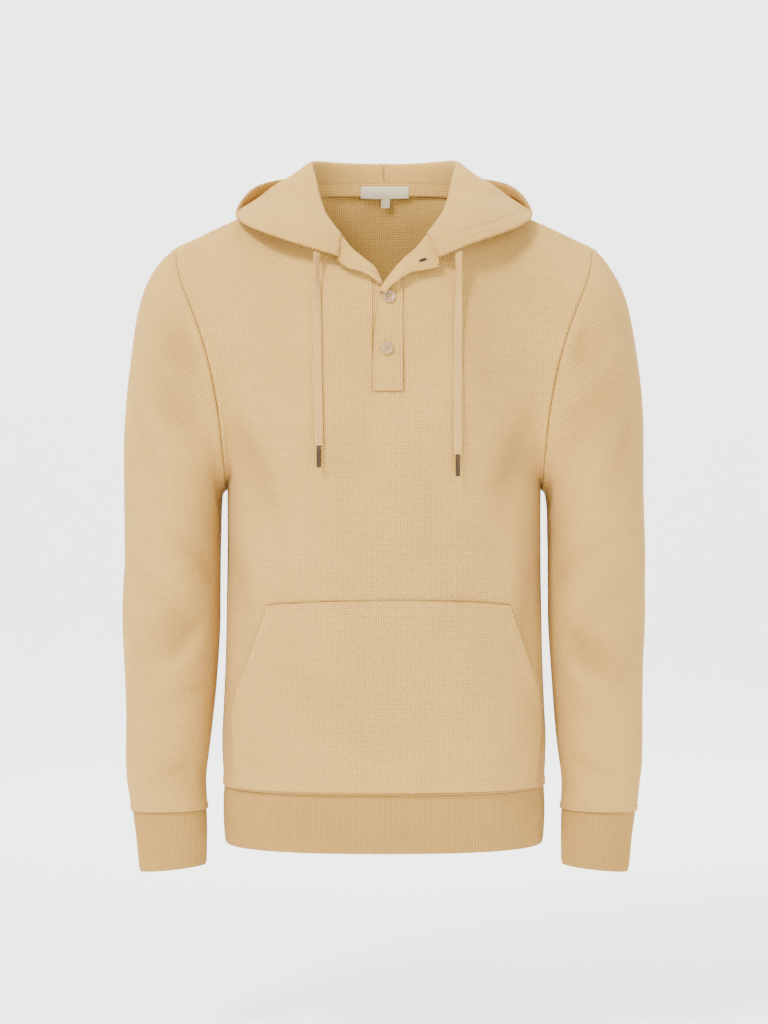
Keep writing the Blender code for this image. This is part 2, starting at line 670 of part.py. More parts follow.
def front_skin(across, height):
    """Outer point and outward normal of the front below the armpits."""
    half_width, front, _, roundness = torso_size(height)
    share = min(abs(across) / half_width, 0.999)
    deep = front * (1 - share ** roundness) ** (1 / roundness)
    slope_x = (share ** (roundness - 1)) / half_width * math.copysign(1.0, across)
    slope_y = -((deep / front) ** (roundness - 1)) / front
    normal = np.array([slope_x, slope_y, 0.0])
    return np.array([across, -deep, height]), normal / np.linalg.norm(normal)


def pocket_grid():
    lines = []
    keys = [row.height for row in POCKET]
    for number, row in enumerate(POCKET):
        line = []
        half_width, _, _, roundness = torso_size(row.height)
        ends = [math.copysign(math.asin((abs(x) / half_width) ** (roundness / 2)), x)
                for x in (row.left, row.right)]
        for share in np.linspace(0.0, 1.0, POCKET_COLUMNS + 1):
            turn = ends[0] + (ends[1] - ends[0]) * share
            across = math.copysign(half_width * abs(math.sin(turn)) ** (2 / roundness), turn)
            rise = POCKET_TOP_RISE * math.sin(math.pi * share) * (number / (len(POCKET) - 1)) ** 3
            point, normal = front_skin(across, row.height + rise)
            body = (keys[-1] - row.height) / (keys[-1] - keys[0])
            fullness = POCKET_FULLNESS * math.sin(math.pi * share) * math.sin(math.pi * body)
            line.append(point + normal * (WALL + LAID_GAP + fullness))
        lines.append(line)
    return np.array(lines)


def neck_surface(back):
    """Upper back and the stand of the hood over it, around the centre back."""
    stand = hood_grid(1)[:HOOD_STEPS[0] + 1, -BACK_NECK_CELLS - 1:]
    stand = np.concatenate([stand, mirrored(stand, -1)[:, ::-1][:, 1:]], axis=1)
    middle = back.shape[1] // 2
    below = back[-4:-1, middle - BACK_NECK_CELLS:middle + BACK_NECK_CELLS + 1]
    return np.concatenate([below, stand])


def neck_tape(surface, collection):
    """Tape over the back neck seam, from shoulder to shoulder, inside the stand of the hood."""
    stand = hood_grid(1)[:2, -BACK_NECK_CELLS - 1:]
    stand = np.concatenate([stand, mirrored(stand, -1)[:, ::-1][:, 1:]], axis=1)[:, ::-1]
    along = np.gradient(stand[0], axis=0)
    inward = np.cross(along, stand[1] - stand[0])
    inward /= np.linalg.norm(inward, axis=1)[:, None]
    rows = [stand[0] + (stand[1] - stand[0]) * share + inward * (WALL + TAPE_GAP + TAPE_WALL)
            for share in TAPE_SHARES]
    return cloth_wall("neck_tape", np.array(rows), surface, collection, wall=TAPE_WALL, trim=0.0)


def neck_sheet(name, size, neck, lift, surface, collection, columns, rows=2):
    """Tape or label inside the back neck, made from the points that it lies on."""
    left, right, low, high = size
    lines = [[lying_on(neck, x, height, WALL + TAPE_WALL + lift)[0]
              for x in np.linspace(left, right, columns + 1)]
             for height in np.linspace(low, high, rows + 1)]
    return cloth_wall(name, np.array(lines), surface, collection, wall=TAPE_WALL, trim=0.0)


def add_button(name, centre, normal, surface, collection):
    """Turned button: rim, dish and rounded back, with its four holes."""
    radius, thick = BUTTON_DIAMETER / 2, BUTTON_THICKNESS
    profile = [(radius * 0.62, thick * 0.72), (radius * 0.74, thick), (radius * 0.92, thick * 0.94),
               (radius, thick * 0.6), (radius * 0.86, 0.0)]
    form = bmesh.new()

    def ring(middle_x, middle_y, size, height, corners):
        turns = [2 * math.pi * k / corners for k in range(corners)]
        verts = [form.verts.new(((middle_x + size * math.cos(turn)) * MM,
                                 (middle_y + size * math.sin(turn)) * MM, height * MM)) for turn in turns]
        return verts, [form.edges.new((verts[k - 1], verts[k])) for k in range(corners)]

    def walls(upper, lower):
        for k in range(len(upper)):
            form.faces.new((upper[k - 1], lower[k - 1], lower[k], upper[k]))

    rings = [ring(0, 0, size, height, BUTTON_SIDES) for size, height in profile]
    for upper, lower in zip(rings, rings[1:]):
        walls(upper[0], lower[0])
    top, bottom = list(rings[0][1]), list(rings[-1][1])
    for x, y in ((1, 1), (-1, 1), (-1, -1), (1, -1)):
        place = (x * HOLE_PLACE, y * HOLE_PLACE, HOLE_DIAMETER / 2)
        upper, lower = ring(*place, profile[0][1], 6), ring(*place, 0.0, 6)
        walls(lower[0], upper[0])
        top += upper[1]
        bottom += lower[1]
    for edges in (top, bottom):
        bmesh.ops.triangle_fill(form, use_beauty=True, use_dissolve=False, edges=edges)
    bmesh.ops.recalc_face_normals(form, faces=form.faces)
    mesh = bpy.data.meshes.new(name)
    form.to_mesh(mesh)
    form.free()
    button = add_object(name, mesh, surface, collection)
    button.rotation_euler = Vector(normal).to_track_quat("Z", "Y").to_euler()
    button.location = Vector(centre) * MM
    return button


def cord_line(cord, front, casing):
    """Middle line of a drawcord from the casing down, evened out as it bridges small hollows."""
    heights = [lie.height for lie in cord.route][::-1]
    casing = casing[casing[:, 1] < 0]
    casing = casing[np.argsort(casing[:, 0])]
    way_out = [np.interp(cord.route[0].across, casing[:, 0], casing[:, k]) for k in range(3)]
    at = np.linspace(way_out[2] - CORD_START, cord.route[-1].height, CORD_POINTS)
    across, _, lift, turned = through(heights, cord.route[::-1], at).T
    depth = np.array([depth_at(front, x, z) for x, z in zip(across, at)]) - lift
    depth[0] = way_out[1] + WALL / 2
    depth[1:-1] = (depth[:-2] + 2 * depth[1:-1] + depth[2:]) / 4
    return np.stack([across, depth, at], axis=1), turned


def add_cord(cord, line, turned, surface, collection):
    """Flat woven cord: a smooth POLY curve with a wide, thin section."""
    name = "drawcord_" + cord.side
    curve = bpy.data.curves.new(name, "CURVE")
    curve.dimensions = "3D"
    curve.twist_mode = "MINIMUM"
    curve.bevel_depth = CORD_THICKNESS / 2 * MM
    curve.extrude = (CORD_WIDTH - CORD_THICKNESS) / 2 * MM
    curve.bevel_resolution = 2
    curve.use_fill_caps = True
    spline = curve.splines.new("POLY")
    spline.points.add(len(line) - 1)
    for point, place, turn in zip(spline.points, line, turned):
        point.co = (*(place * MM), 1.0)
        point.tilt = math.radians(CORD_FLAT + turn)
    return add_object(name, curve, surface, collection)


def add_tip(cord, line, surface, collection):
    """Crimped metal end of a drawcord, hanging just under it."""
    bpy.ops.mesh.primitive_cylinder_add(vertices=16, radius=TIP_DIAMETER / 2 * MM,
                                        depth=TIP_LENGTH * MM)
    tip = bpy.context.object
    tip.name = "cord_tip_" + cord.side
    tip.data.name = tip.name
    tip.data.materials.append(surface)
    end = Vector(line[-1])
    tip.location = (end - Vector((0.0, 0.0, TIP_LENGTH / 2 + SEAM_GAP))) * MM
    for old in list(tip.users_collection):
        old.objects.unlink(tip)
    collection.objects.link(tip)
    edge = tip.modifiers.new("rounded ends", "BEVEL")
    edge.width = 0.5 * MM
    edge.segments = 2
    return tip


def main():
    clear_scene()
    garment = bpy.data.collections.new("half_button_hoodie")
    bpy.context.scene.collection.children.link(garment)
    knit = material("waffle_knit", SAND, 0.95)
    rib = material("rib_knit", SAND, 0.95)
    cord = material("woven_cord", SAND, 0.9)
    cream = material("label_satin", CREAM, 0.6)
    pearl = material("pearl_button", PEARL, 0.25)
    metal = material("tip_metal", GUNMETAL, 0.35, 0.9)

    front, back = front_grid(), back_grid()
    half = front.shape[1] // 2
    slot = {(row, column) for row in range(len(front) - 1) for column in (half - 1, half)
            if front[row, half, 2] > SLOT_BOTTOM - 1}
    grids = {"body_front": (front, False, slot), "body_back": (back, False, ())}
    for word, side in (("left", -1), ("right", 1)):
        grids["sleeve_" + word] = (creased(sleeve_grid(side), side), True, ())
        grids["hood_" + word] = (hood_grid(side), False, ())
    seams = Seams()
    for name, (grid, closed, skip) in grids.items():
        seams.add(name, grid, closed, skip)
    for name, (grid, closed, skip) in grids.items():
        cloth_wall(name, grid, knit, garment, seams, closed, skip)

    for word, side in (("left", -1), ("right", 1)):
        turn = np.arange(0, 360, 3)
        rings = [mirrored(ring_points(row, turn), side) for row in CUFF]
        rings = [ring if side > 0 else ring[::-1] for ring in rings]
        rings[0] = rings[0] - (0, 0, SEAM_GAP)
        ribbed_band("cuff_" + word, [ring[::-1] for ring in rings], 66, 22, rib, garment)

    quarter = {face: torso_quarter(HEM_SEAM, 0.01, face) for face in (-1, 1)}
    ring = np.concatenate([mirrored(quarter[-1], -1)[::-1], quarter[-1][1:], quarter[1][::-1][1:],
                           mirrored(quarter[1], -1)[1:-1]])
    top = ring * (1.0, 1.0, 0.0) + (0, 0, HEM_SEAM - SEAM_GAP)
    bottom = ring * (0.994, 0.994, 0.0) + (0, 0, HEM_BOTTOM)
    ribbed_band("hem_band", [top, bottom], 300, 60, rib, garment)

    cloth_wall("pocket", pocket_grid(), knit, garment)
    cloth_wall("placket_over", strip_grid(PLACKET_OVER, front, WALL + 0.45, 4), knit, garment, trim=0.0)
    cloth_wall("placket_under", strip_grid(PLACKET_UNDER, front, 0.0, 4), knit, garment, trim=0.0)
    cloth_wall("facing_left", facing_grid(FACING_LEFT)[:, ::-1], knit, garment, trim=0.0)
    cloth_wall("facing_right", facing_grid(FACING_RIGHT), knit, garment, trim=0.0)

    neck = neck_surface(back)
    neck_tape(knit, garment)
    neck_sheet("neck_label", (-26.5, 28.5, 6.8, 17.7), neck, TAPE_WALL + TAPE_GAP + 0.7, cream, garment, 6)
    neck_sheet("size_tab", (-3.3, 7.0, -2.8, 6.4), neck, TAPE_WALL + TAPE_GAP + 0.7, cream, garment, 2)

    for name, across, height, lift in BUTTONS:
        centre, normal = lying_on(front, across, height, lift)
        add_button(name, centre, normal, pearl, garment)

    for item in CORDS:
        line, turned = cord_line(item, front, grids["hood_" + item.side][0][-1])
        add_cord(item, line, turned, cord, garment)
        add_tip(item, line, metal, garment)


main()
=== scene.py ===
import math
import time

import bmesh
import bpy
import numpy as np
from mathutils import Matrix, Vector


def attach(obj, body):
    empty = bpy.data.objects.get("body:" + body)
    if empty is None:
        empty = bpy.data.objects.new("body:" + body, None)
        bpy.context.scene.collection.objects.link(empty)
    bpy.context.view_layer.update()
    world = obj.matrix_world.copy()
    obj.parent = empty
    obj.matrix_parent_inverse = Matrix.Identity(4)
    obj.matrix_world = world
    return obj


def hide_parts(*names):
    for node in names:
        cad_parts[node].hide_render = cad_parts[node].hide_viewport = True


started = time.time()
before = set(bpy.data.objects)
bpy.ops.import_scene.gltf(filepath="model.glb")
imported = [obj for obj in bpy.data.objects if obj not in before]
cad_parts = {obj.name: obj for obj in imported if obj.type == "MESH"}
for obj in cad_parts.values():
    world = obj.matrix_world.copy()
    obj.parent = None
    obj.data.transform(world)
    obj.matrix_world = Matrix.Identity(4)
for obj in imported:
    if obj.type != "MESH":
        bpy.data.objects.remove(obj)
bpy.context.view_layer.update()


def say(stage):
    print("%6.1f s  %s" % (time.time() - started, stage))


def through(keys, values, at):
    # smooth curve through a table of values; lengths are in millimetres until a mesh is made
    keys, values, at = np.asarray(keys, float), np.asarray(values, float), np.asarray(at, float)
    slopes = np.gradient(values, keys, axis=0)
    row = np.clip(np.searchsorted(keys, at, side="right") - 1, 0, len(keys) - 2)
    span = keys[row + 1] - keys[row]
    part = (at - keys[row]) / span
    if values.ndim > 1:
        span, part = span[..., None], part[..., None]
    near = (1 + 2 * part) * (1 - part) ** 2 * values[row]
    far = part ** 2 * (3 - 2 * part) * values[row + 1]
    return near + far + part * (1 - part) * span * ((1 - part) * slopes[row] - part * slopes[row + 1])


def runOf(line):
    return np.concatenate([[0.0], np.cumsum(np.linalg.norm(np.diff(line, axis=0), axis=1))])


def pointAt(line, run, at):
    return np.stack([np.interp(at, run, line[:, k]) for k in range(line.shape[1])], axis=-1)


def resample(line, cells):
    line = np.asarray(line, float)
    run = runOf(line)
    return pointAt(line, run, np.linspace(0.0, run[-1], cells + 1))


def flip(points, side):
    return np.asarray(points, float) * np.array([side, 1.0, 1.0])


def smoothStep(x):
    x = np.clip(x, 0.0, 1.0)
    return x * x * (3 - 2 * x)


body = {
    "armpit": -312.0, "hemSeam": -628.0, "slotBottom": -206.0, "slot": (-12.0, 20.0),
    # height, half width, front depth, back depth, roundness
    "sections": np.array([
        (-628, 170.5, 118.0, 112.0, 2.5), (-603, 172.5, 119.0, 113.0, 2.5), (-560, 171.5, 118.5, 111.5, 2.5),
        (-505, 169.0, 117.5, 110.0, 2.5), (-445, 167.8, 117.5, 109.5, 2.45), (-385, 167.0, 119.0, 112.5, 2.4),
        (-345, 166.8, 120.5, 116.0, 2.4), (-312, 167.0, 121.5, 118.0, 2.4)]),
    # height, depth of the centre line
    "centreFront": [(-312, 121.5), (-265, 122.5), (-215, 120.5), (-165, 114.5), (-125, 106.5), (-88, 97.0)],
    "centreBack": [(-312, 118.0), (-250, 120.0), (-190, 117.5), (-130, 110.0), (-75, 96.0), (-30, 80.0),
                   (12.6, 62.0)],
    # turn, across, front depth, back depth, height
    "armhole": np.array([
        (0, 222.0, -2.0, 2.0, -55.0), (20, 221.0, 22.0, 24.0, -64.0), (40, 216.0, 45.0, 42.0, -89.0),
        (60, 203.0, 61.0, 56.0, -121.0), (80, 188.0, 73.0, 66.0, -162.0), (100, 177.5, 77.0, 71.0, -204.0),
        (120, 171.0, 74.0, 68.0, -245.0), (140, 168.2, 61.0, 56.0, -279.0), (160, 167.2, 35.0, 33.0, -303.0),
        (180, 167.0, 0.0, 0.0, -312.0)]),
    "roll": [(12, -99.0, -88.6), (22, -95.5, -81.0), (33.5, -89.5, -70.5), (45, -80.0, -56.0)],
    "shoulderBow": 3.0, "shoulderCells": 5, "lowCells": 7, "highCells": 12, "relax": 14, "fullness": 5.5,
}

hood = {
    # stations from the front end past the shoulder to the centre back:
    # neck seam, roll, crest, floor, belly, face edge
    "stations": np.array([
        ((45, -80, -56), (44.5, -83, -51), (45, -90, -54), (46, -96, -61), (46.5, -99, -68), (47, -101, -75)),
        ((62, -68, -40), (57.5, -63, -33), (65, -75, -34), (74, -86, -42), (80, -93, -52), (86, -97, -63)),
        ((77, -42, -18), (66.5, -40, -14), (83, -47, -13), (100, -56, -21), (116, -62, -32), (131, -62, -44)),
        ((88, 2, 3), (74.5, -5, 20), (112, -2, 11), (134, 22, -1), (153, 10, -13), (158, -12, -23)),
        ((80, 34, 9), (77, 24, 39), (98, 39, 18), (122, 71, -50), (151, 60, -30), (143, 30, 12)),
        ((47, 56, 12), (48, 54, 42), (64, 75, 17), (74, 117, -118), (108, 124, -62), (100, 70, 29)),
        ((0, 62, 12.6), (0, 66, 43), (0, 86, 18), (0, 133, -172), (0, 157, -85), (0, 100, 37))], float),
    "steps": (3, 4, 4, 3, 4), "frontCells": 5, "backCells": 6, "casing": 15.5,
    "frontEnd": {-1: (47, -101, -75), 1: (56.5, -98.5, -76)},
}


def torsoSize(height):
    return through(body["sections"][:, 0], body["sections"][:, 1:], height)


def torsoQuarter(height, start, face):
    halfWidth, front, back, roundness = torsoSize(height)
    depth = front if face < 0 else back
    first = math.asin((start / halfWidth) ** (roundness / 2))
    turn = np.linspace(first, math.pi / 2, 160)
    across = halfWidth * np.sin(turn) ** (2 / roundness)
    deep = depth * np.maximum(np.cos(turn), 0.0) ** (2 / roundness)
    deep[-1] = 0.0
    return np.stack([across, face * deep, np.full_like(across, height)], axis=1)


def armhole(turn):
    turn = np.asarray(turn, float) % 360
    front = turn <= 180
    found = through(body["armhole"][:, 0], body["armhole"][:, 1:], np.where(front, turn, 360 - turn))
    deep = np.where(front, -found[..., 1], found[..., 2])
    return np.stack([found[..., 0], deep, found[..., 3]], axis=-1)


def armEdge(face):
    # from the armpit to the shoulder, in front or behind
    return armhole(np.linspace(180, 0 if face < 0 else 360, body["highCells"] + 1))


def lowHeights():
    return np.linspace(body["hemSeam"], body["armpit"], body["lowCells"] + 1)


def hoodColumn(part, station):
    rows = hood["stations"][:, part]
    return through(range(len(rows) + 1), np.concatenate([rows, flip(rows[-2:-1], -1)]), station)


def shoulderSeam():
    neck, point = hoodColumn(0, 3.0), armhole(0.0)
    share = np.linspace(0.0, 1.0, body["shoulderCells"] + 1)[:, None]
    line = neck + (point - neck) * share
    line[:, 2] += body["shoulderBow"] * 4 * (share * (1 - share))[:, 0]
    return line


def topLine(face):
    if face < 0:
        neck = hoodColumn(0, np.linspace(0.0, 3.0, hood["frontCells"] + 1))
        return np.concatenate([np.array(body["roll"][:-1], float), neck, shoulderSeam()[1:]])
    neck = hoodColumn(0, np.linspace(6.0, 3.0, hood["backCells"] + 1))
    return np.concatenate([neck, shoulderSeam()[1:]])


def patch(bottom, top, start, end):
    across = np.linspace(0.0, 1.0, len(bottom))[None, :, None]
    up = np.linspace(0.0, 1.0, len(start))[:, None, None]
    corners = ((1 - up) * ((1 - across) * bottom[0] + across * bottom[-1])
               + up * ((1 - across) * top[0] + across * top[-1]))
    grid = ((1 - up) * bottom[None] + up * top[None]
            + (1 - across) * start[:, None] + across * end[:, None] - corners)
    for _ in range(body["relax"]):
        around = (grid[:-2, 1:-1] + grid[2:, 1:-1] + grid[1:-1, :-2] + grid[1:-1, 2:]) / 4
        grid[1:-1, 1:-1] += (around - grid[1:-1, 1:-1]) * 0.5
    full = np.outer(np.sin(np.linspace(0, math.pi, len(start))), np.sin(np.linspace(0, math.pi, len(bottom))))
    grid[..., 1] += np.sign(grid[..., 1]) * body["fullness"] * full
    return grid


def bodyHalf(face, start):
    top = topLine(face)
    cells = len(top) - 1
    lower = [resample(torsoQuarter(height, max(start, 0.01), face), cells) for height in lowHeights()]
    for row in lower:
        row[0, 0] = start
    top[0, 0] = start
    table = np.array(body["centreFront"] if face < 0 else body["centreBack"], float)
    middle = body["slotBottom"] if face < 0 else (body["armpit"] + top[0, 2]) / 2
    rows = body["highCells"] // 2 + 1
    rise = joined([np.linspace(body["armpit"], middle, rows), np.linspace(middle, top[0, 2], rows)[1:]])
    deep = face * through(table[:, 0], table[:, 1], rise)
    centre = np.stack([np.full_like(rise, start), deep, rise], axis=1)
    centre[0], centre[-1] = lower[-1][0], top[0]
    edge = armEdge(face)
    edge[0] = lower[-1][-1]
    return np.concatenate([np.array(lower), patch(lower[-1], top, centre, edge)[1:]])


def frontGrid():
    right = bodyHalf(-1, body["slot"][1])
    left = flip(bodyHalf(-1, -body["slot"][0]), -1)[:, ::-1]
    return np.concatenate([left, (left[:, -1:] + right[:, :1]) / 2, right], axis=1)


def backGrid():
    right = bodyHalf(1, 0.0)
    return np.concatenate([right[:, ::-1], flip(right, -1)[:, 1:]], axis=1)


def hoodGrid(side):
    stations = np.concatenate([np.linspace(0.0, 3.0, hood["frontCells"] + 1),
                               np.linspace(3.0, 6.0, hood["backCells"] + 1)[1:]])
    columns = []
    for station in stations:
        section = np.array([hoodColumn(part, station) for part in range(6)])
        run = runOf(section)
        at = [np.linspace(run[k], run[k + 1], count, endpoint=False) for k, count in enumerate(hood["steps"])]
        columns.append(through(run, section, np.concatenate([*at, run[-1:]])))
    grid = np.array(columns).transpose(1, 0, 2)
    grid[0, 0] = body["roll"][-1]
    share = np.linspace(0.0, 1.0, len(grid))[:, None] ** 2
    end = np.array(hood["frontEnd"][side], float)
    grid[:, 0] += share * (end - grid[-1, 0])
    grid[:, 1] += share * 0.45 * (end - hood["stations"][0, -1])
    grid = flip(grid, side)
    return grid if side > 0 else grid[:, ::-1]


def refineAxis(points, times, closed=False):
    if closed:
        padded = np.concatenate([points[-2:-1], points, points[1:2]])
    else:
        padded = np.concatenate([2 * points[:1] - points[1:2], points, 2 * points[-1:] - points[-2:-1]])
    part = (np.arange(times) / times).reshape((1, times) + (1,) * (points.ndim - 1))
    a, b, c, d = (padded[k:len(padded) - 3 + k, None] for k in range(4))
    fine = 0.5 * (2 * b + (c - a) * part + (2 * a - 5 * b + 4 * c - d) * part ** 2
                  + (3 * b - a - 3 * c + d) * part ** 3)
    return np.concatenate([fine.reshape((-1,) + points.shape[1:]), points[-1:]])


def refine(grid, rows, columns, closed=False):
    fine = refineAxis(grid, rows)
    return refineAxis(fine.swapaxes(0, 1), columns, closed).swapaxes(0, 1)


def flatCut(grid, lay=None, rounds=600):
    # lays a piece flat by its edge lengths, as it was cut
    wide = np.linalg.norm(np.diff(grid, axis=1), axis=2)
    high = np.linalg.norm(np.diff(grid, axis=0), axis=2)
    middle = grid.shape[1] // 2
    u = np.concatenate([np.zeros((len(grid), 1)), np.cumsum(wide, axis=1)], axis=1)
    u -= u[:, middle:middle + 1]
    v = np.concatenate([np.zeros((1, grid.shape[1])), np.cumsum(high, axis=0)], axis=0)
    v = v * 0.5 + v[:, middle:middle + 1] * 0.5
    flat = np.stack([u, v], axis=2) if lay is None else lay(grid)
    ties = [((slice(None), slice(1, None)), (slice(None), slice(None, -1))),
            ((slice(1, None), slice(None)), (slice(None, -1), slice(None))),
            ((slice(1, None), slice(1, None)), (slice(None, -1), slice(None, -1))),
            ((slice(1, None), slice(None, -1)), (slice(None, -1), slice(1, None)))]
    rest = [np.linalg.norm(grid[a] - grid[b], axis=2) for a, b in ties]
    for _ in range(rounds):
        move = np.zeros_like(flat)
        for (a, b), length in zip(ties, rest):
            way = flat[a] - flat[b]
            now = np.maximum(np.linalg.norm(way, axis=2), 1e-6)
            step = way * ((length - now) / now)[..., None] * 0.11
            move[a] += step
            move[b] -= step
        flat += move
    return flat


def joined(parts):
    return np.concatenate([np.asarray(part, float) for part in parts])


def bodyLay(grid):
    # first lay of a body panel: straight up, and across with what its sides turn back
    back = np.abs(grid[..., 1]).max(axis=1, keepdims=True) - np.abs(grid[..., 1])
    across = grid[..., 0] + np.sign(grid[..., 0]) * back * 0.5
    return np.stack([across * np.sign(grid[0, -1, 0]), grid[..., 2]], axis=2)


def gridNormals(grid, closed=False):
    across = np.gradient(grid, axis=1)
    if closed:
        wrap = grid[:, 1] - grid[:, -2]
        across[:, 0] = across[:, -1] = wrap / 2
    normals = np.cross(across, np.gradient(grid, axis=0))
    size = np.linalg.norm(normals, axis=2, keepdims=True)
    return normals / np.maximum(size, 1e-9)


def edgeRuns(grid):
    # distance of each point from each edge of its grid, along the surface
    high = np.linalg.norm(np.diff(grid, axis=0), axis=2)
    wide = np.linalg.norm(np.diff(grid, axis=1), axis=2)
    up = np.concatenate([np.zeros((1, grid.shape[1])), np.cumsum(high, axis=0)])
    right = np.concatenate([np.zeros((grid.shape[0], 1)), np.cumsum(wide, axis=1)], axis=1)
    return {"bottom": up, "top": up[-1:] - up, "left": right, "right": right[:, -1:] - right}


def nearest(runs, *edges):
    found = runs[edges[0]]
    for edge in edges[1:]:
        found = np.minimum(found, runs[edge])
    return found


def addLines(grid, edge, places):
    # extra lines of points at set distances from an edge, where the sewing shapes the cloth
    sideways = edge in ("left", "right")
    turned = grid.swapaxes(0, 1) if sideways else grid
    turned = turned[::-1] if edge in ("top", "right") else turned
    steps = np.linalg.norm(np.diff(turned[..., :3], axis=0), axis=2)
    run = np.concatenate([np.zeros((1, turned.shape[1])), np.cumsum(steps, axis=0)])
    kept = int(np.argmax(np.median(run, axis=1) > places[-1] + 0.8))
    lines = np.empty((len(places) + 1 + len(turned) - kept,) + turned.shape[1:])
    for column in range(turned.shape[1]):
        own = run[:, column]
        near = np.array(places) * min(1.0, 0.55 * own[-1] / places[-1])
        rest = near[-1] + (own[kept:] - own[kept - 1]) * (own[-1] - near[-1]) / (own[-1] - own[kept - 1])
        at = joined([[0.0], near, rest])
        for part in range(turned.shape[2]):
            lines[:, column, part] = np.interp(at, own, turned[:, column, part])
    lines = lines[::-1] if edge in ("top", "right") else lines
    return lines.swapaxes(0, 1) if sideways else lines


def pressed(points, normals, near, folds, weights):
    # soft troughs (+) and ridges (-), each along a line that tapers out and stops short of seams
    amount = np.zeros(points.shape[:2])
    for start, end, width, depth in folds:
        start, end = np.array(start, float) * weights, np.array(end, float) * weights
        way = end - start
        share = ((points * weights - start) @ way) / (way @ way)
        held = np.clip(share, 0, 1)
        distance = np.linalg.norm(points * weights - start - held[..., None] * way, axis=2)
        taper = 0.35 + 0.65 * np.sin(math.pi * np.clip(share, 0.02, 0.98)) ** 0.7
        amount += depth * np.exp(-(distance / width) ** 2) * taper
    amount *= smoothStep(near / 18.0)
    return points - normals * amount[..., None], amount


def hump(run, middle, width, height):
    return height * np.exp(-((run - middle) / width) ** 2)


def linked(name, data):
    piece = bpy.data.objects.new(name, data)
    bpy.context.scene.collection.objects.link(piece)
    return piece


def declared(piece, surface):
    piece.data.materials.append(surface)
    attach(piece, "root")
    return piece


def addMesh(name, points, faces, uvs, surface, sharp=50, shade=None):
    mesh = bpy.data.meshes.new(name)
    mesh.from_pydata((np.asarray(points) * 0.001).tolist(), [], faces)
    if uvs is not None:
        layer = mesh.uv_layers.new(name="cut")
        corners = np.empty(len(mesh.loops), dtype=np.int32)
        mesh.loops.foreach_get("vertex_index", corners)
        layer.data.foreach_set("uv", (np.asarray(uvs)[corners] * 0.001).astype(np.float32).ravel())
    if shade is not None:
        # painted shade at each point, along seams and in fold troughs, for the knit's material to mix in
        values = mesh.attributes.new("seamShade", "FLOAT", "POINT").data
        values.foreach_set("value", np.asarray(shade, np.float32))
    mesh.shade_smooth()
    mesh.set_sharp_from_angle(angle=math.radians(sharp))
    return declared(linked(name, mesh), surface)


def shell(name, outer, inner, flat, surface, gone=None, closed=False, shade=None):
    # closed cloth wall between two grids; a closed tube shares its first and last column
    rows, columns = outer.shape[:2]
    keep = np.ones((rows - 1, columns - 1), bool) if gone is None else ~gone
    number = np.arange(rows * columns).reshape(rows, columns)
    cell = np.stack([number[:-1, :-1], number[:-1, 1:], number[1:, 1:], number[1:, :-1]], axis=2)
    count = rows * columns
    front = cell[keep]
    walls = []
    padded = np.pad(keep, 1)
    sides = [(slice(0, -2), slice(1, -1), 0, 1), (slice(1, -1), slice(2, None), 1, 2),
             (slice(2, None), slice(1, -1), 2, 3), (slice(1, -1), slice(0, -2), 3, 0)]
    for rowSlice, columnSlice, a, b in sides:
        if closed and rowSlice == slice(1, -1):
            continue
        edge = cell[keep & ~padded[rowSlice, columnSlice]]
        walls.append(np.stack([edge[:, b], edge[:, a], edge[:, a] + count, edge[:, b] + count], axis=1))
    faces = np.concatenate([front, front[:, ::-1] + count, *walls])
    points = joined([outer.reshape(-1, 3), inner.reshape(-1, 3)])
    uvs = joined([flat.reshape(-1, 2), flat.reshape(-1, 2)])
    used, faces = np.unique(faces, return_inverse=True)
    faces = faces.reshape(-1, 4)
    shade = np.zeros(count) if shade is None else shade.ravel()
    shade = joined([shade, shade])[used]
    piece = addMesh(name, points[used], faces.tolist(), uvs[used], surface, shade=shade)
    if closed:
        form = bmesh.new()
        form.from_mesh(piece.data)
        bmesh.ops.remove_doubles(form, verts=form.verts, dist=1e-6)
        form.to_mesh(piece.data)
        form.free()
    return piece


troughPaintedShade = 0.034        # painted shade in the troughs of folds: how much of the deep colour each millimetre of a fold's depth takes


def clothPiece(name, coarse, times, surface, node, thickness=1.6, closed=False, folds=(), weights=(1, 0, 1),
               lines=(), shape=None, edges=(), gone=None, lay=None, seams=0.42):
    # refined, folded, sewn and declared shell on its solid's form, with painted shade along its sewn edges
    # (seams says how dark) and in its fold troughs
    weights = np.array(weights, float)
    grid = refine(coarse, times[0], times[1], closed)
    for part, points in edges:
        grid[part] = points
    both = np.concatenate([grid, refine(flatCut(coarse, lay), times[0], times[1])], axis=2)
    for edge, places in lines:
        both = addLines(both, edge, places)
    grid, flat = both[..., :3], both[..., 3:]
    runs = edgeRuns(grid)
    sewnEdges = ("bottom", "top") if closed else ("bottom", "top", "left", "right")
    near = nearest(runs, *sewnEdges)
    grid, troughs = pressed(grid, gridNormals(grid, closed), near, folds, weights)
    if shape is not None:
        grid = grid + gridNormals(grid, closed) * shape(grid, runs)[..., None]
    if gone is not None:
        gone = gone(grid)
    normals = gridNormals(grid, closed)
    wall = thickness(grid, runs) if callable(thickness) else np.full(grid.shape[:2], thickness)
    inner = grid - normals * wall[..., None]
    # painted shade: darker along the sewn edges and in the troughs of folds
    shade = np.maximum(hump(near, 0.0, 0.9, seams), troughPaintedShade * np.clip(troughs, 0, 5))
    piece = shell(name, grid, inner, flat, surface, gone, closed, shade)
    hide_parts(node)
    return {"outer": grid, "inner": inner, "normals": normals, "runs": edgeRuns(grid)}


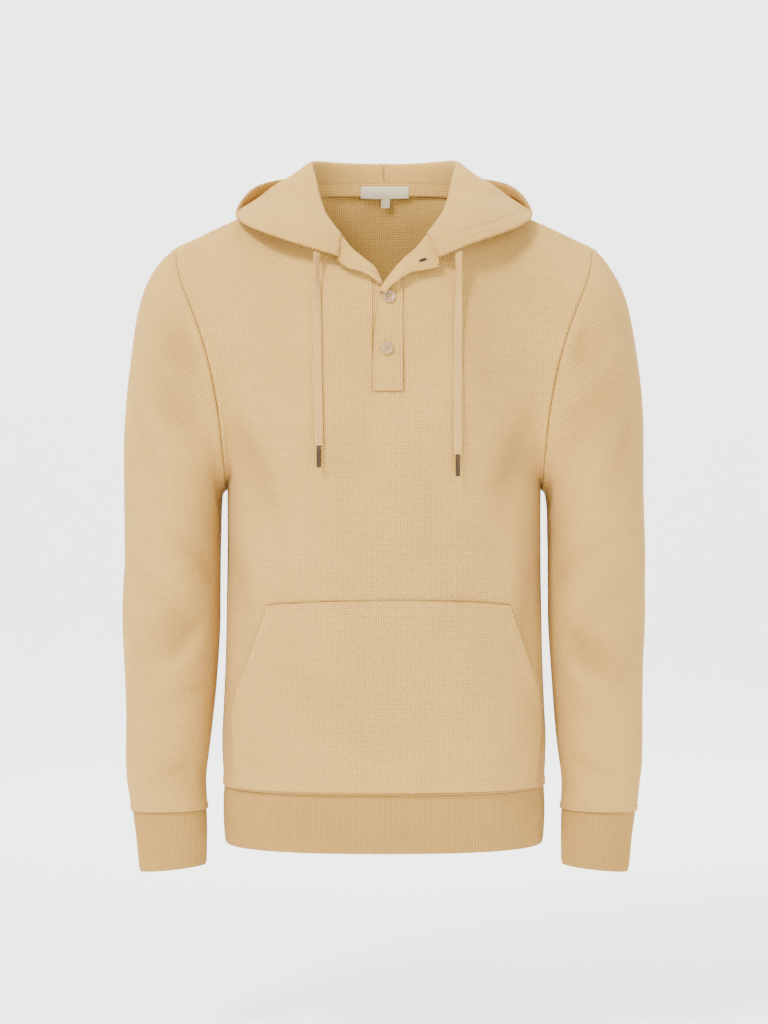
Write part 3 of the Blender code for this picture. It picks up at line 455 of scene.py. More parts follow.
def lineAt(cloth, edge, distance, start=0.0, end=1.0, inside=False):
    # points and normals on a cloth at a set distance from one of its edges
    run, points, normals = cloth["runs"][edge], cloth["outer"], cloth["normals"]
    if inside:
        points, normals = cloth["inner"], -normals
    if edge in ("left", "right"):
        run, points, normals = run.T, points.swapaxes(0, 1), normals.swapaxes(0, 1)
    if edge in ("top", "right"):
        run, points, normals = run[::-1], points[::-1], normals[::-1]
    span = range(int(start * (run.shape[1] - 1)), int(end * (run.shape[1] - 1)) + 1)
    both = np.concatenate([points, normals], axis=2)
    found = np.array([[np.interp(distance, run[:, c], both[:, c, k]) for k in range(6)] for c in span])
    return found[:, :3], found[:, 3:]


def stitches(name, rows, surface, pitch=3.2, size=(2.3, 0.75, 0.5)):
    # sewing thread that shows: one small rounded stitch after another on each line
    ring = [(math.cos(t), math.sin(t)) for t in np.arange(6) * math.pi / 3]
    rings = [(place, c * wide, s * wide) for place, wide in ((-0.32, 0.42), (0, 0.5), (0.32, 0.42))
             for c, s in ring]
    shape = np.array([(-0.5, 0, 0), *rings, (0.5, 0, 0)])
    faces = [(0, 1 + (k + 1) % 6, 1 + k) for k in range(6)]
    faces += [(1 + 6 * r + k, 1 + 6 * r + (k + 1) % 6, 7 + 6 * r + (k + 1) % 6, 7 + 6 * r + k)
              for r in range(2) for k in range(6)]
    faces += [(13 + k, 13 + (k + 1) % 6, 19) for k in range(6)]
    points, quads, count = [], [], 0
    for line, normals in rows:
        run = runOf(line)
        for at in np.arange(pitch / 2, run[-1], pitch):
            middle, normal = pointAt(line, run, at), pointAt(normals, run, at)
            along = pointAt(line, run, at + 0.8) - pointAt(line, run, at - 0.8)
            along /= max(np.linalg.norm(along), 1e-9)
            normal = normal - along * (normal @ along)
            normal /= max(np.linalg.norm(normal), 1e-9)
            across = np.cross(normal, along)
            points.append(middle + normal * 0.1 + shape[:, :1] * along * size[0]
                          + shape[:, 1:2] * across * size[1] + shape[:, 2:] * normal * size[2])
            quads += [tuple(corner + count for corner in face) for face in faces]
            count += len(shape)
    return addMesh(name, np.concatenate(points), quads, None, surface)


def colour(code):
    part = [int(code[k:k + 2], 16) / 255 for k in (0, 2, 4)]
    return [c / 12.92 if c <= 0.04045 else ((c + 0.055) / 1.055) ** 2.4 for c in part] + [1.0]


def addNode(tree, kind, settings=(), links=()):
    node = tree.nodes.new(kind)
    for key, value in dict(settings).items():
        if isinstance(key, str) and hasattr(node, key):
            setattr(node, key, value)
        else:
            node.inputs[key].default_value = value
    for socket, source in links:
        tree.links.new(source, node.inputs[socket])
    return node


def newMaterial(name, slot, settings):
    surface = bpy.data.materials.new(name)
    surface.use_nodes = True
    surface["slot"] = slot
    shader = surface.node_tree.nodes["Principled BSDF"]
    for key, value in settings.items():
        shader.inputs[key].default_value = value
    return surface, surface.node_tree, shader


def waveScale(pitch):
    return 2 * math.pi / (20 * pitch * 0.001)          # one band every pitch, in millimetres


cotton = {"Roughness": 0.95, "Specular IOR Level": 0.15, "Sheen Weight": 0.12, "Sheen Roughness": 0.5,
          "Sheen Tint": colour("f2e0c0")}


def yarnMaterial(name, slot, look):
    # knitted cotton: two crossing waves give the cells, with painted shade in their hollows, noise the uneven
    # yarn and its fuzz
    surface, tree, shader = newMaterial(name, slot, cotton)
    coordinates = addNode(tree, "ShaderNodeTexCoord")
    cut, place = coordinates.outputs["UV"], coordinates.outputs["Object"]
    waves = [addNode(tree, "ShaderNodeTexWave", {"bands_direction": way, "Scale": waveScale(pitch),
                                                 "Distortion": look["uneven"], "Detail": 1.0,
                                                 "Detail Scale": 0.35}, [("Vector", cut)]).outputs["Fac"]
             for way, pitch in (("X", look["across"]), ("Y", look["along"]))]
    top = addNode(tree, "ShaderNodeMath", {"operation": "MULTIPLY", 1: look["alongShare"]}, [(0, waves[1])])
    height = addNode(tree, "ShaderNodeMath", {"operation": "MAXIMUM"}, [(0, waves[0]), (1, top.outputs[0])])
    # dye clouds about 70 mm across, and fuzz of about 1 mm
    blotch, fuzz = (addNode(tree, "ShaderNodeTexNoise", {"Scale": scale, "Detail": detail}, [("Vector", place)])
                    for scale, detail in ((14.0, 3.0), (900.0, 2.0)))
    # painted shade: the lower the yarn lies in its cell, the more of the deep colour
    depth = addNode(tree, "ShaderNodeMapRange", {"From Min": 0.0, "From Max": 1.0, "To Min": look["dip"],
                                                 "To Max": 0.0}, [("Value", height.outputs[0])])
    # painted shade along seams and in fold troughs, carried by each piece
    seam = addNode(tree, "ShaderNodeAttribute", {"attribute_name": "seamShade"})
    dark = addNode(tree, "ShaderNodeMath", {"operation": "ADD", "use_clamp": True},
                   [(0, depth.outputs[0]), (1, seam.outputs["Fac"])])
    mix = addNode(tree, "ShaderNodeMix", {
        "data_type": "RGBA", 6: colour(look["base"]), 7: colour(look["deep"])}, [(0, dark.outputs[0])])
    tone, fine = (addNode(tree, "ShaderNodeMapRange", {
        "From Min": 0.3, "From Max": 0.7, "To Min": low, "To Max": high}, [("Value", noise.outputs["Fac"])])
        for noise, low, high in ((blotch, 0.94, 1.04), (fuzz, 0.95, 1.05)))
    both = addNode(tree, "ShaderNodeMath", {"operation": "MULTIPLY"},
                   [(0, tone.outputs[0]), (1, fine.outputs[0])])
    scale = addNode(tree, "ShaderNodeVectorMath", {"operation": "SCALE"},
                    [(0, mix.outputs[2]), ("Scale", both.outputs[0])])
    tree.links.new(scale.outputs[0], shader.inputs["Base Color"])
    weave = addNode(tree, "ShaderNodeBump", {"Strength": look["bump"], "Distance": look["relief"] * 0.001},
                    [("Height", height.outputs[0])])
    nap = addNode(tree, "ShaderNodeBump", {"Strength": 0.25, "Distance": 0.0003},
                  [("Height", fuzz.outputs["Fac"]), ("Normal", weave.outputs[0])])
    tree.links.new(nap.outputs[0], shader.inputs["Normal"])
    return surface


# waffle-knit cotton: raised cords round square dips, 2.5 mm apart, with painted shade in the dips
knit = yarnMaterial("waffleKnitCotton", "waffle_knit", {
    "base": "daae5b", "deep": "745023", "across": 2.5, "along": 2.5, "alongShare": 0.92, "uneven": 0.6,
    "dip": 0.64, "bump": 0.85, "relief": 0.8})
# rib-knit cotton: the ribs are geometry, the waves give painted shade in the grooves and the stitches up each
# rib
rib = yarnMaterial("ribKnitCotton", "rib_knit", {
    "base": "bb934a", "deep": "765427", "across": 3.2, "along": 1.5, "alongShare": 0.55, "uneven": 0.3,
    "dip": 0.55, "bump": 0.6, "relief": 0.4})
# flat braided cotton cord: crossing waves on the bias give the plaits, with painted shade between them
cordWeave = yarnMaterial("braidedCottonCord", "woven_cord", {
    "base": "cda35f", "deep": "886738", "across": 1.5, "along": 1.6, "alongShare": 0.9, "uneven": 0.2,
    "dip": 0.6, "bump": 0.7, "relief": 0.4})
# twisted polyester-cotton sewing thread, dyed to the cloth: a touch glossier than the knit
thread, _, _ = newMaterial("sewingThread", "waffle_knit", {
    "Base Color": colour("c79c5c"), "Roughness": 0.7, "Sheen Weight": 0.2})


def mottled(name, slot, settings, kind, pattern, pair, stretch=None, relief=None):
    # two shades of one stuff in a pattern through its body, for what isn't knitted
    surface, tree, shader = newMaterial(name, slot, settings)
    place = addNode(tree, "ShaderNodeTexCoord").outputs["Object"]
    if stretch:
        place = addNode(tree, "ShaderNodeMapping", {"Scale": stretch}, [("Vector", place)]).outputs[0]
    drawn = addNode(tree, kind, pattern, [("Vector", place)]).outputs["Fac"]
    mix = addNode(tree, "ShaderNodeMix", {
        "data_type": "RGBA", 6: colour(pair[0]), 7: colour(pair[1])}, [(0, drawn)])
    tree.links.new(mix.outputs[2], shader.inputs["Base Color"])
    if relief:
        bump = addNode(tree, "ShaderNodeBump", {"Strength": relief, "Distance": 0.0002}, [("Height", drawn)])
        tree.links.new(bump.outputs[0], shader.inputs["Normal"])
    return surface


# woven polyester satin: fine floats across, 0.5 mm apart, give a soft directional gloss
satin = mottled("labelSatin", "label_satin", {"Roughness": 0.42, "Sheen Weight": 0.3}, "ShaderNodeTexWave",
                {"bands_direction": "X", "Scale": waveScale(0.5), "Distortion": 1.5}, ("dfd0b4", "c4b291"),
                relief=0.3)
# cast polyester with pearl essence: cloudy swirls some 6 mm wide under a glossy coat
pearl = mottled("pearlPolyester", "pearl_button",
                {"Roughness": 0.3, "Coat Weight": 0.12, "Coat Roughness": 0.1, "IOR": 1.5},
                "ShaderNodeTexNoise", {"Scale": 160.0, "Detail": 4.0, "Distortion": 2.5}, ("74542f", "c9a574"))
# gunmetal-plated brass tube: dark, with brushed and rubbed streaks along it, a little over 1 mm wide
metal = mottled("gunmetalPlate", "tip_metal", {"Metallic": 1.0, "Roughness": 0.38}, "ShaderNodeTexNoise",
                {"Scale": 1.0, "Detail": 3.0}, ("1c1511", "6b5a4c"), stretch=(900.0, 900.0, 60.0))
say("materials")

# the camera, straight on at the middle of the garment; in metres, with the lens in millimetres
view = {"height": -0.338, "distance": 2.6, "lens": 85.4, "sensor": 36.0}
camera = linked("camera", bpy.data.cameras.new("camera"))
camera.data.sensor_fit = "VERTICAL"
camera.data.sensor_height = view["sensor"]
camera.data.lens = view["lens"]
camera.location = (0.0, -view["distance"], view["height"])
camera.rotation_euler = (math.radians(90), 0.0, 0.0)
bpy.context.scene.camera = camera


def depthAt(grid, across, height):
    # how deep a surface lies at a place seen from the front
    cells = np.stack([grid[:-1, :-1], grid[:-1, 1:], grid[1:, 1:], grid[1:, :-1]], axis=2).reshape(-1, 4, 3)
    corner = joined([cells[:, 0], cells[:, 0]])
    first = joined([cells[:, 1], cells[:, 2]]) - corner
    second = joined([cells[:, 2], cells[:, 3]]) - corner
    area = first[:, 0] * second[:, 2] - first[:, 2] * second[:, 0]
    area[np.abs(area) < 1e-9] = 1e-9
    offX, offZ = across - corner[:, 0], height - corner[:, 2]
    u = (offX * second[:, 2] - offZ * second[:, 0]) / area
    v = (first[:, 0] * offZ - first[:, 2] * offX) / area
    hit = (u > -1e-6) & (v > -1e-6) & (u + v < 1 + 1e-6)
    return (corner[hit, 1] + u[hit] * first[hit, 1] + v[hit] * second[hit, 1]).min()


def lyingOn(grid, across, height, lift, reach=4.0):
    slopeX = depthAt(grid, across + reach, height) - depthAt(grid, across - reach, height)
    slopeZ = depthAt(grid, across, height + reach) - depthAt(grid, across, height - reach)
    normal = np.array([slopeX / (2 * reach), -1.0, slopeZ / (2 * reach)])
    normal /= np.linalg.norm(normal)
    return np.array([across, depthAt(grid, across, height), height]) + normal * lift, normal


# drawcords, which hang over the front's own form, and their tips
frontCoarse, backCoarse = frontGrid(), backGrid()
cordPlan = {
    "start": 2.2, "points": 27, "width": 9.0, "thickness": 2.0, "wall": 1.8,
    # across, height, lift off the front, turned out of the flat
    "left": [(-69.0, -66, 22.0, 20), (-69.0, -76, 21.0, 46), (-69.2, -88, 16.5, 58), (-69.0, -112, 7.5, 32),
             (-68.4, -145, 3.6, 5), (-67.8, -185, 3.2, 0), (-67.0, -225, 3.3, 0), (-66.4, -270, 4.0, 0)],
    "right": [(77.0, -66, 23.0, -12), (77.0, -76, 22.0, -40), (77.0, -88, 16.5, -52), (76.6, -112, 8.0, -40),
              (76.0, -145, 3.8, -8), (75.4, -188, 3.2, 0), (75.2, -232, 3.3, 0), (75.4, -279, 4.0, 0)],
}
tipPlan = {
    "diameter": 4.4, "length": 22.5, "gap": 0.36, "sides": 28,
    # crimped tube: rolled rim, waist pressed on to the cord, barrel; share of its radius, height
    "crimp": [(0.82, 0.0), (0.97, -0.25), (1.0, -0.8), (0.93, -1.5), (0.84, -2.3), (0.84, -3.2), (0.95, -4.0),
              (1.0, -4.9)],
    # its domed end; share of its radius, height over the tip
    "dome": [(1.0, 1.6), (0.96, 0.7), (0.8, 0.15), (0.4, 0.0)],
}


def cordLine(side):
    route = np.array(cordPlan[side], float)
    casing = hoodGrid(-1 if side == "left" else 1)[-1]
    casing = casing[casing[:, 1] < 0]
    casing = casing[np.argsort(casing[:, 0])]
    wayOut = pointAt(casing, casing[:, 0], route[0, 0])
    at = np.linspace(wayOut[2] - cordPlan["start"], route[-1, 1], cordPlan["points"])
    across, _, lift, turned = through(route[::-1, 1], route[::-1], at).T
    depth = np.array([depthAt(frontCoarse, x, z) for x, z in zip(across, at)]) - lift
    depth[0] = wayOut[1] + cordPlan["wall"] / 2
    depth[1:-1] = (depth[:-2] + 2 * depth[1:-1] + depth[2:]) / 4
    return np.stack([across, depth, at], axis=1), turned


def sweep(line, turned, width, thickness, corners=16):
    # flat rounded section along a line, and its cut as UVs in millimetres
    turns = np.arange(corners) * 2 * math.pi / corners
    section = np.stack([np.sign(np.cos(turns)) * np.abs(np.cos(turns)) ** 0.45 * width / 2,
                        np.sign(np.sin(turns)) * np.abs(np.sin(turns)) ** 0.8 * thickness / 2], axis=1)
    along = np.gradient(line, axis=0)
    along /= np.linalg.norm(along, axis=1)[:, None]
    across = np.cross(along, np.array([0.0, -1.0, 0.0]))
    across /= np.linalg.norm(across, axis=1)[:, None]
    out = np.cross(across, along)
    way = np.radians(turned)[:, None]
    flat = across * np.cos(way) + out * np.sin(way)
    thin = out * np.cos(way) - across * np.sin(way)
    rings = line[:, None] + flat[:, None] * section[None, :, :1] + thin[:, None] * section[None, :, 1:]
    count = len(line)
    number = np.arange(count * corners).reshape(count, corners)
    after = np.roll(number, -1, axis=1)
    faces = np.stack([number[1:], after[1:], after[:-1], number[:-1]], axis=2).reshape(-1, 4).tolist()
    faces += [number[0].tolist(), number[-1, ::-1].tolist()]
    run = runOf(line)
    uvs = np.stack([np.broadcast_to(section[None, :, 0], (count, corners)),
                    np.broadcast_to(run[:, None], (count, corners))], axis=2)
    return rings.reshape(-1, 3), faces, uvs.reshape(-1, 2)


def startRound(radius, sides, fill="NGON"):
    bpy.ops.object.select_all(action="DESELECT")
    bpy.ops.mesh.primitive_circle_add(vertices=sides, radius=radius * 0.001, fill_type=fill)
    bpy.ops.object.mode_set(mode="EDIT")
    return bpy.context.object


def drawOut(profile):
    # extrudes the face or rim that is selected through each radius and height of the profile
    for (radius, height), (nextRadius, nextHeight) in zip(profile, profile[1:]):
        rise, grown = (nextHeight - height) * 0.001, nextRadius / radius
        bpy.ops.mesh.extrude_region_move(TRANSFORM_OT_translate={"value": (0, 0, rise)})
        bpy.ops.transform.resize(value=(grown, grown, 1), center_override=(0, 0, 0))


def closeRound():
    bpy.ops.mesh.select_all(action="SELECT")
    bpy.ops.mesh.normals_make_consistent(inside=False)
    bpy.ops.object.mode_set(mode="OBJECT")


def copied(model):
    bpy.ops.object.select_all(action="DESELECT")
    model.select_set(True)
    bpy.context.view_layer.objects.active = model
    bpy.ops.object.duplicate()
    return bpy.context.object


def settled(piece, name, surface, place, turn=(0, 0, 0)):
    # the piece's turn and place go into its mesh
    piece.name = piece.data.name = name
    piece.location, piece.rotation_euler = Vector(place) * 0.001, turn
    bpy.ops.object.transform_apply(location=True, rotation=True, scale=True)
    bpy.ops.object.shade_smooth_by_angle(angle=math.radians(40))
    return declared(piece, surface)


tipRadius = tipPlan["diameter"] / 2
tipProfile = [(tipRadius * share, height) for share, height in tipPlan["crimp"]]
tipProfile += [(tipRadius * share, height - tipPlan["length"]) for share, height in tipPlan["dome"]]
tipModel = startRound(tipProfile[0][0], tipPlan["sides"])
drawOut(tipProfile)
closeRound()
for side in ("left", "right"):
    line, turned = cordLine(side)
    fineLine = refineAxis(line, 6)
    fineTurn = refineAxis(turned[:, None], 6)[:, 0]
    points, faces, uvs = sweep(fineLine, fineTurn, cordPlan["width"], cordPlan["thickness"])
    cord = addMesh("drawcord" + side.title(), points, faces, uvs, cordWeave, 60)
    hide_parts("drawcord_" + side)
    tip = settled(copied(tipModel), "cordTip" + side.title(), metal, line[-1] - (0, 0, tipPlan["gap"]))
    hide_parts("cord_tip_" + side)
    print("   cord %s: %.1f mm" % (side, runOf(line)[-1]))
bpy.data.objects.remove(tipModel)
say("drawcords")

# front and back, with the seams that all neighbours share
sewn = (0.5, 1.0, 1.6, 2.3, 3.1, 4.0, 5.2, 6.6, 8.2, 10.0)           # lines beside a seam
fine = 6
neckLine = refineAxis(hoodGrid(1)[0], fine)                           # front end to centre back
shoulderLine = refineAxis(shoulderSeam(), fine)
armFront, armBack = (refineAxis(armEdge(face), fine) for face in (-1, 1))
neckFront = neckLine[:hood["frontCells"] * fine + 1]
neckBack = neckLine[hood["frontCells"] * fine:][::-1]                 # centre back to shoulder
lowRows = body["lowCells"] * fine
sideSeam = refineAxis(np.array([torsoQuarter(height, 0.01, -1)[-1] for height in lowHeights()]), fine)


def seamLift(run, groove=0.9, fullness=0.6):
    # cloth dips into the seam and stands over the turnings behind it
    return hump(run, 0.0, 1.2, -groove) + hump(run, 4.0, 2.8, fullness)


def hemRidge(run):
    # flat ridge of the cover-stitched seam, over the rib's turning
    return smoothStep(run / 1.2) * smoothStep((8.6 - run) / 1.8) - hump(run, 0.0, 0.7, 0.3)


def waves(points, size=0.7):
    # gentle unevenness that no worn cloth is without
    x, y, z = points[..., 0], points[..., 1], points[..., 2]
    slow = np.sin(x / 31 + z / 83 + 1.3) * np.sin(z / 47 + y / 60 + 0.4)
    return size * (slow + 0.5 * np.sin(x / 17 - z / 29 + 2.1))


def bodyShape(grid, runs):
    lift = hemRidge(runs["bottom"])
    for edge in ("top", "left", "right"):
        lift = lift + seamLift(runs[edge])
    return lift + waves(grid) * smoothStep((nearest(runs, "bottom", "top", "left", "right") - 8) / 25)


frontFolds = [
    ((-163, 0, -232), (-118, 0, -330), 15, 2.8), ((-150, 0, -262), (-96, 0, -372), 17, 1.6),
    ((160, 0, -226), (121, 0, -312), 14, 2.4), ((150, 0, -272), (104, 0, -362), 18, 1.8),
    ((-160, 0, -372), (-140, 0, -478), 14, 2.2), ((158, 0, -392), (143, 0, -486), 13, 2.4),
    ((-138, 0, -360), (-122, 0, -450), 13, -1.6), ((139, 0, -372), (126, 0, -452), 12, -1.4),
    ((-108, 0, -128), (-92, 0, -240), 20, 1.2), ((112, 0, -120), (100, 0, -228), 19, 1.3),
    ((-30, 0, -250), (-44, 0, -380), 24, 1.0), ((48, 0, -262), (36, 0, -392), 22, 0.9),
    ((-160, 0, -520), (-163, 0, -610), 8, 1.6), ((163, 0, -530), (160, 0, -612), 8, 1.8),
]
backFolds = [
    ((-150, 0, -250), (-96, 0, -330), 16, 3.2), ((152, 0, -262), (90, 0, -352), 17, 3.0),
    ((-128, 0, -200), (-70, 0, -282), 18, 1.8), ((122, 0, -186), (64, 0, -262), 18, 1.6),
    ((6, 0, -300), (-10, 0, -470), 22, 2.0), ((-84, 0, -400), (-52, 0, -560), 18, 2.4),
    ((92, 0, -420), (60, 0, -585), 17, 2.2), ((-140, 0, -440), (-104, 0, -590), 14, 2.0),
    ((144, 0, -430), (116, 0, -580), 14, 2.2), ((-60, 0, -372), (-34, 0, -500), 14, -1.4),
    ((-120, 0, -592), (110, 0, -604), 9, -1.8), ((-88, 0, -560), (60, 0, -552), 10, 1.6),
]
half = frontCoarse.shape[1] // 2


def deeper(folds, times=1.5, slimmer=0.9):
    return [(start, end, width * slimmer, depth * times) for start, end, width, depth in folds]


topFront = joined([neckFront, shoulderLine[1:]])
rolled = (len(body["roll"]) - 1) * fine                               # points over the folded-out part
edgesFront = [
    ((-1, slice((half + 1) * fine + rolled, None)), topFront),
    ((-1, slice(0, (half - 1) * fine - rolled + 1)), flip(topFront, -1)[::-1]),
    ((slice(lowRows, None), -1), armFront), ((slice(lowRows, None), 0), flip(armFront, -1)),
    ((slice(0, lowRows + 1), -1), sideSeam), ((slice(0, lowRows + 1), 0), flip(sideSeam, -1))]
neckToShoulder = joined([neckBack, shoulderLine[1:]])
edgesBack = [
    ((-1, slice(None)), joined([neckToShoulder[::-1], flip(neckToShoulder, -1)[1:]])),
    ((slice(lowRows, None), 0), armBack), ((slice(lowRows, None), -1), flip(armBack, -1)),
    ((slice(0, lowRows + 1), 0), sideSeam), ((slice(0, lowRows + 1), -1), flip(sideSeam, -1))]
bodyLines = [(edge, sewn) for edge in ("bottom", "top", "left", "right")]


def slotCells(grid):
    # cells of the front that are cut away for the placket
    across, depth, height = np.moveaxis((grid[:-1, :-1] + grid[1:, 1:]) / 2, 2, 0)
    left, right = body["slot"]
    return (across > left) & (across < right) & (height > body["slotBottom"]) & (depth < 0)


front = clothPiece("frontCloth", frontCoarse, (fine, fine), knit, "body_front", folds=deeper(frontFolds),
                   lines=bodyLines, shape=bodyShape, edges=edgesFront, gone=slotCells, lay=bodyLay)
back = clothPiece("backCloth", backCoarse, (fine, fine), knit, "body_back", folds=deeper(backFolds),
                  lines=bodyLines, shape=bodyShape, edges=edgesBack, lay=bodyLay)
say("body")

sleeve = {
    # outer, outer height, inner, inner height, front, back, share of the armhole's shape
    "rings": np.array([
        (222.0, -55, 167.0, -312, -77, 71, 1.00), (233.5, -65, 171.3, -317, -81, 74, 0.80),
        (244.0, -79, 173.2, -325, -83, 75, 0.60), (254.0, -98, 173.8, -336, -84.5, 76, 0.40),
        (262.5, -124, 174.0, -349, -85, 76, 0.22), (269.0, -160, 174.1, -364, -84, 74, 0.10),
        (273.0, -205, 174.2, -380, -82, 71, 0.0), (275.5, -255, 174.2, -398, -80, 67, 0.0),
        (277.0, -310, 174.5, -424, -78, 62, 0.0), (278.0, -370, 175.0, -458, -75, 54, 0.0),
        (277.8, -430, 177.5, -498, -73, 46, 0.0), (277.0, -486, 180.5, -540, -71, 37, 0.0),
        (275.0, -546, 184.0, -582, -69, 27, 0.0), (272.8, -600, 188.0, -618, -66, 17, 0.0),
        (269.8, -634, 187.5, -641, -62, 8, 0.0), (267.0, -654, 187.0, -652, -58, 2, 0.0)]),
    "cuff": np.array([(266.0, -654, 187.6, -652, -57, 1, 0.0), (261.5, -681, 188.0, -678, -55, -2, 0.0),
                      (258.8, -717.5, 187.6, -710, -54, -4, 0.0)]),
    "spoke": 15, "seamTurn": 180,          # degrees between points of a ring, and where its seam runs
}


def ringPoints(ring, turn):
    outer, inner = np.array([ring[0], 0.0, ring[1]]), np.array([ring[2], 0.0, ring[3]])
    way = np.radians(turn)[:, None]
    depth = np.where(np.sin(way) >= 0, -ring[4], ring[5])
    blend = 1.0 if ring[6] == 0 else 0.0
    deep = (ring[5] - ring[4]) / 2 * blend + depth * (1 - blend)
    shift = np.array([0.0, (ring[4] + ring[5]) / 2 * blend, 0.0])
    middle = (outer + inner) / 2 + (outer - inner) / 2 * np.cos(way)
    return middle + shift + np.array([0.0, -1.0, 0.0]) * deep * np.sin(way)


def sleeveGrid(side):
    turn = np.arange(0, 360, sleeve["spoke"])
    seam = armhole(turn)
    own = seam - ringPoints(sleeve["rings"][0], turn)
    rings = np.array([ringPoints(row, turn) + own * row[6] for row in sleeve["rings"]])
    rings[0] = seam
    rings = np.roll(rings, sleeve["seamTurn"] // sleeve["spoke"], axis=1)
    rings = flip(np.concatenate([rings, rings[:, :1]], axis=1), side)
    return rings[::-1, ::-1] if side > 0 else rings[::-1]


sleeveFolds = {
    -1: [((-224, -76, -148), (-184, -82, -188), 22, 5.0), ((-238, -72, -196), (-196, -84, -250), 26, 4.0),
         ((-236, 66, -150), (-190, 72, -205), 26, 4.5), ((-196, -70, -452), (-246, -62, -478), 24, 3.5),
         ((-216, -80, -128), (-188, -82, -168), 8, 1.6), ((-182, -60, -452), (-222, -72, -488), 9, 2.6),
         ((-186, -60, -480), (-228, -70, -506), 10, -1.8), ((-190, -50, -520), (-232, -66, -540), 11, 2.0),
         ((-262, -40, -330), (-270, -10, -420), 16, 1.6), ((-196, -60, -600), (-240, -62, -618), 10, 1.9),
         ((-262, -30, -596), (-222, -58, -580), 12, -1.5), ((-200, 30, -440), (-256, 40, -480), 14, 3.2),
         ((-196, 20, -500), (-250, 34, -530), 14, 2.4), ((-262, 20, -250), (-236, 62, -320), 18, 2.4),
         ((-262, -55, -217), (-239, -76, -284), 13, 1.8), ((-216, -72, -364), (-182, -43, -404), 12, 2.4),
         ((-186, -53, -287), (-174, -28, -330), 9, 2.2), ((-256, -58, -400), (-214, -72, -440), 14, 1.5)],
    1: [((226, -76, -146), (198, -82, -180), 22, 4.5), ((240, -72, -205), (190, -84, -262), 26, 4.0),
        ((238, 66, -158), (192, 72, -214), 26, 4.5), ((192, -70, -466), (240, -64, -500), 24, 3.5),
        ((220, -80, -126), (196, -82, -160), 8, 1.4), ((184, -60, -462), (218, -72, -502), 9, 2.8),
        ((188, -58, -500), (226, -70, -522), 10, -1.9), ((192, -52, -536), (236, -66, -552), 11, 1.8),
        ((264, -36, -350), (268, -14, -436), 16, 1.7), ((198, -56, -596), (238, -62, -610), 10, 2.1),
        ((262, -28, -604), (226, -58, -592), 12, -1.4), ((200, 28, -452), (258, 42, -496), 14, 3.0),
        ((198, 22, -520), (250, 34, -544), 14, 2.2), ((262, 24, -262), (234, 62, -336), 18, 2.6),
        ((262, -55, -232), (236, -76, -300), 13, 1.9), ((218, -72, -372), (182, -43, -410), 12, 2.3),
        ((187, -53, -280), (175, -28, -326), 9, 2.1), ((254, -60, -412), (212, -72, -448), 14, 1.6)],
}


def sleeveShape(grid, runs):
    uneven = waves(grid, 1.1) * smoothStep((nearest(runs, "bottom", "top") - 8) / 25)
    return hemRidge(runs["bottom"]) + seamLift(runs["top"], 0.9, 0.9) + uneven


sleeves = {}
for word, side in (("Left", -1), ("Right", 1)):
    ringTop = flip(joined([armBack, armFront[::-1][1:]]), side)       # from the armpit round to the armpit
    ringTop = ringTop[::-1] if side > 0 else ringTop
    sleeves[side] = clothPiece(
        "sleeve" + word, sleeveGrid(side), (7, fine), knit, "sleeve_" + word.lower(), closed=True,
        folds=deeper(sleeveFolds[side], 1.9, 0.85), weights=(1, 1, 1), shape=sleeveShape,
        lines=[("bottom", sewn), ("top", sewn)], edges=[((-1, slice(None)), ringTop)])
say("sleeves")

hoodFolds = {
    -1: [((-70, -48, -16), (-104, -60, -36), 7, 2.4), ((-112, 20, 8), (-138, 6, -14), 10, 2.4),
         ((-60, 120, -60), (-86, 128, -110), 12, 3.0), ((-30, 150, -60), (-22, 140, -130), 12, 2.4)],
    1: [((72, -46, -16), (108, -58, -34), 7, 2.2), ((114, 18, 6), (140, 4, -16), 10, 2.6),
        ((56, 124, -56), (90, 126, -104), 12, 2.8), ((34, 150, -70), (26, 138, -140), 12, 2.2)],
}


def hoodShape(grid, runs):
    return seamLift(runs["bottom"], 0.3, 0.3) + waves(grid, 0.5) * smoothStep((runs["top"] - 22) / 20)


def hoodWall(grid, runs):
    # the face edge is turned in over the cords: a full casing with its stitch line pulled in
    edge = runs["top"]
    casing = 1.5 * smoothStep((hood["casing"] - 1.1 - edge) / 3.0) * smoothStep((edge + 1.5) / 4.0)
    centre = runs["right"] if grid[0, -1, 0] ** 2 < grid[0, 0, 0] ** 2 else runs["left"]
    centreSeam = hump(centre, 0.0, 0.9, -0.7) + hump(centre, 2.8, 2.4, 0.7)
    return 1.6 + casing - hump(edge, hood["casing"], 1.0, 0.6) + centreSeam * smoothStep((edge - 18) / 8)


hoods = {}
casingLines = (0.6, 1.4, 2.6, 4.2, 6.0, 8.0, 10.0, 12.0, 13.6, 14.6, 15.5, 16.4, 17.4, 19.0)
for word, side in (("Left", -1), ("Right", 1)):
    neckEdge = flip(neckLine, side)
    hoods[side] = clothPiece(
        "hood" + word, hoodGrid(side), (fine, fine), knit, "hood_" + word.lower(), folds=hoodFolds[side],
        weights=(1, 1, 1), thickness=hoodWall, shape=hoodShape, seams=0.3,
        lines=[("top", casingLines), ("bottom", sewn[:6]), ("right" if side > 0 else "left", sewn)],
        edges=[((0, slice(None)), neckEdge if side > 0 else neckEdge[::-1])])
say("hood")

bandPlan = {
    "relief": 0.75, "thickness": 3.2, "swell": 0.9, "pitch": 3.2, "each": 8, "rows": 15, "gap": 0.36,
    # share of the body's width, height
    "hem": ((1.0, -628.36), (1.0, -648.0), (0.998, -668.0), (0.994, -688.0)), "hemRibs": 300, "cuffRibs": 66,
}


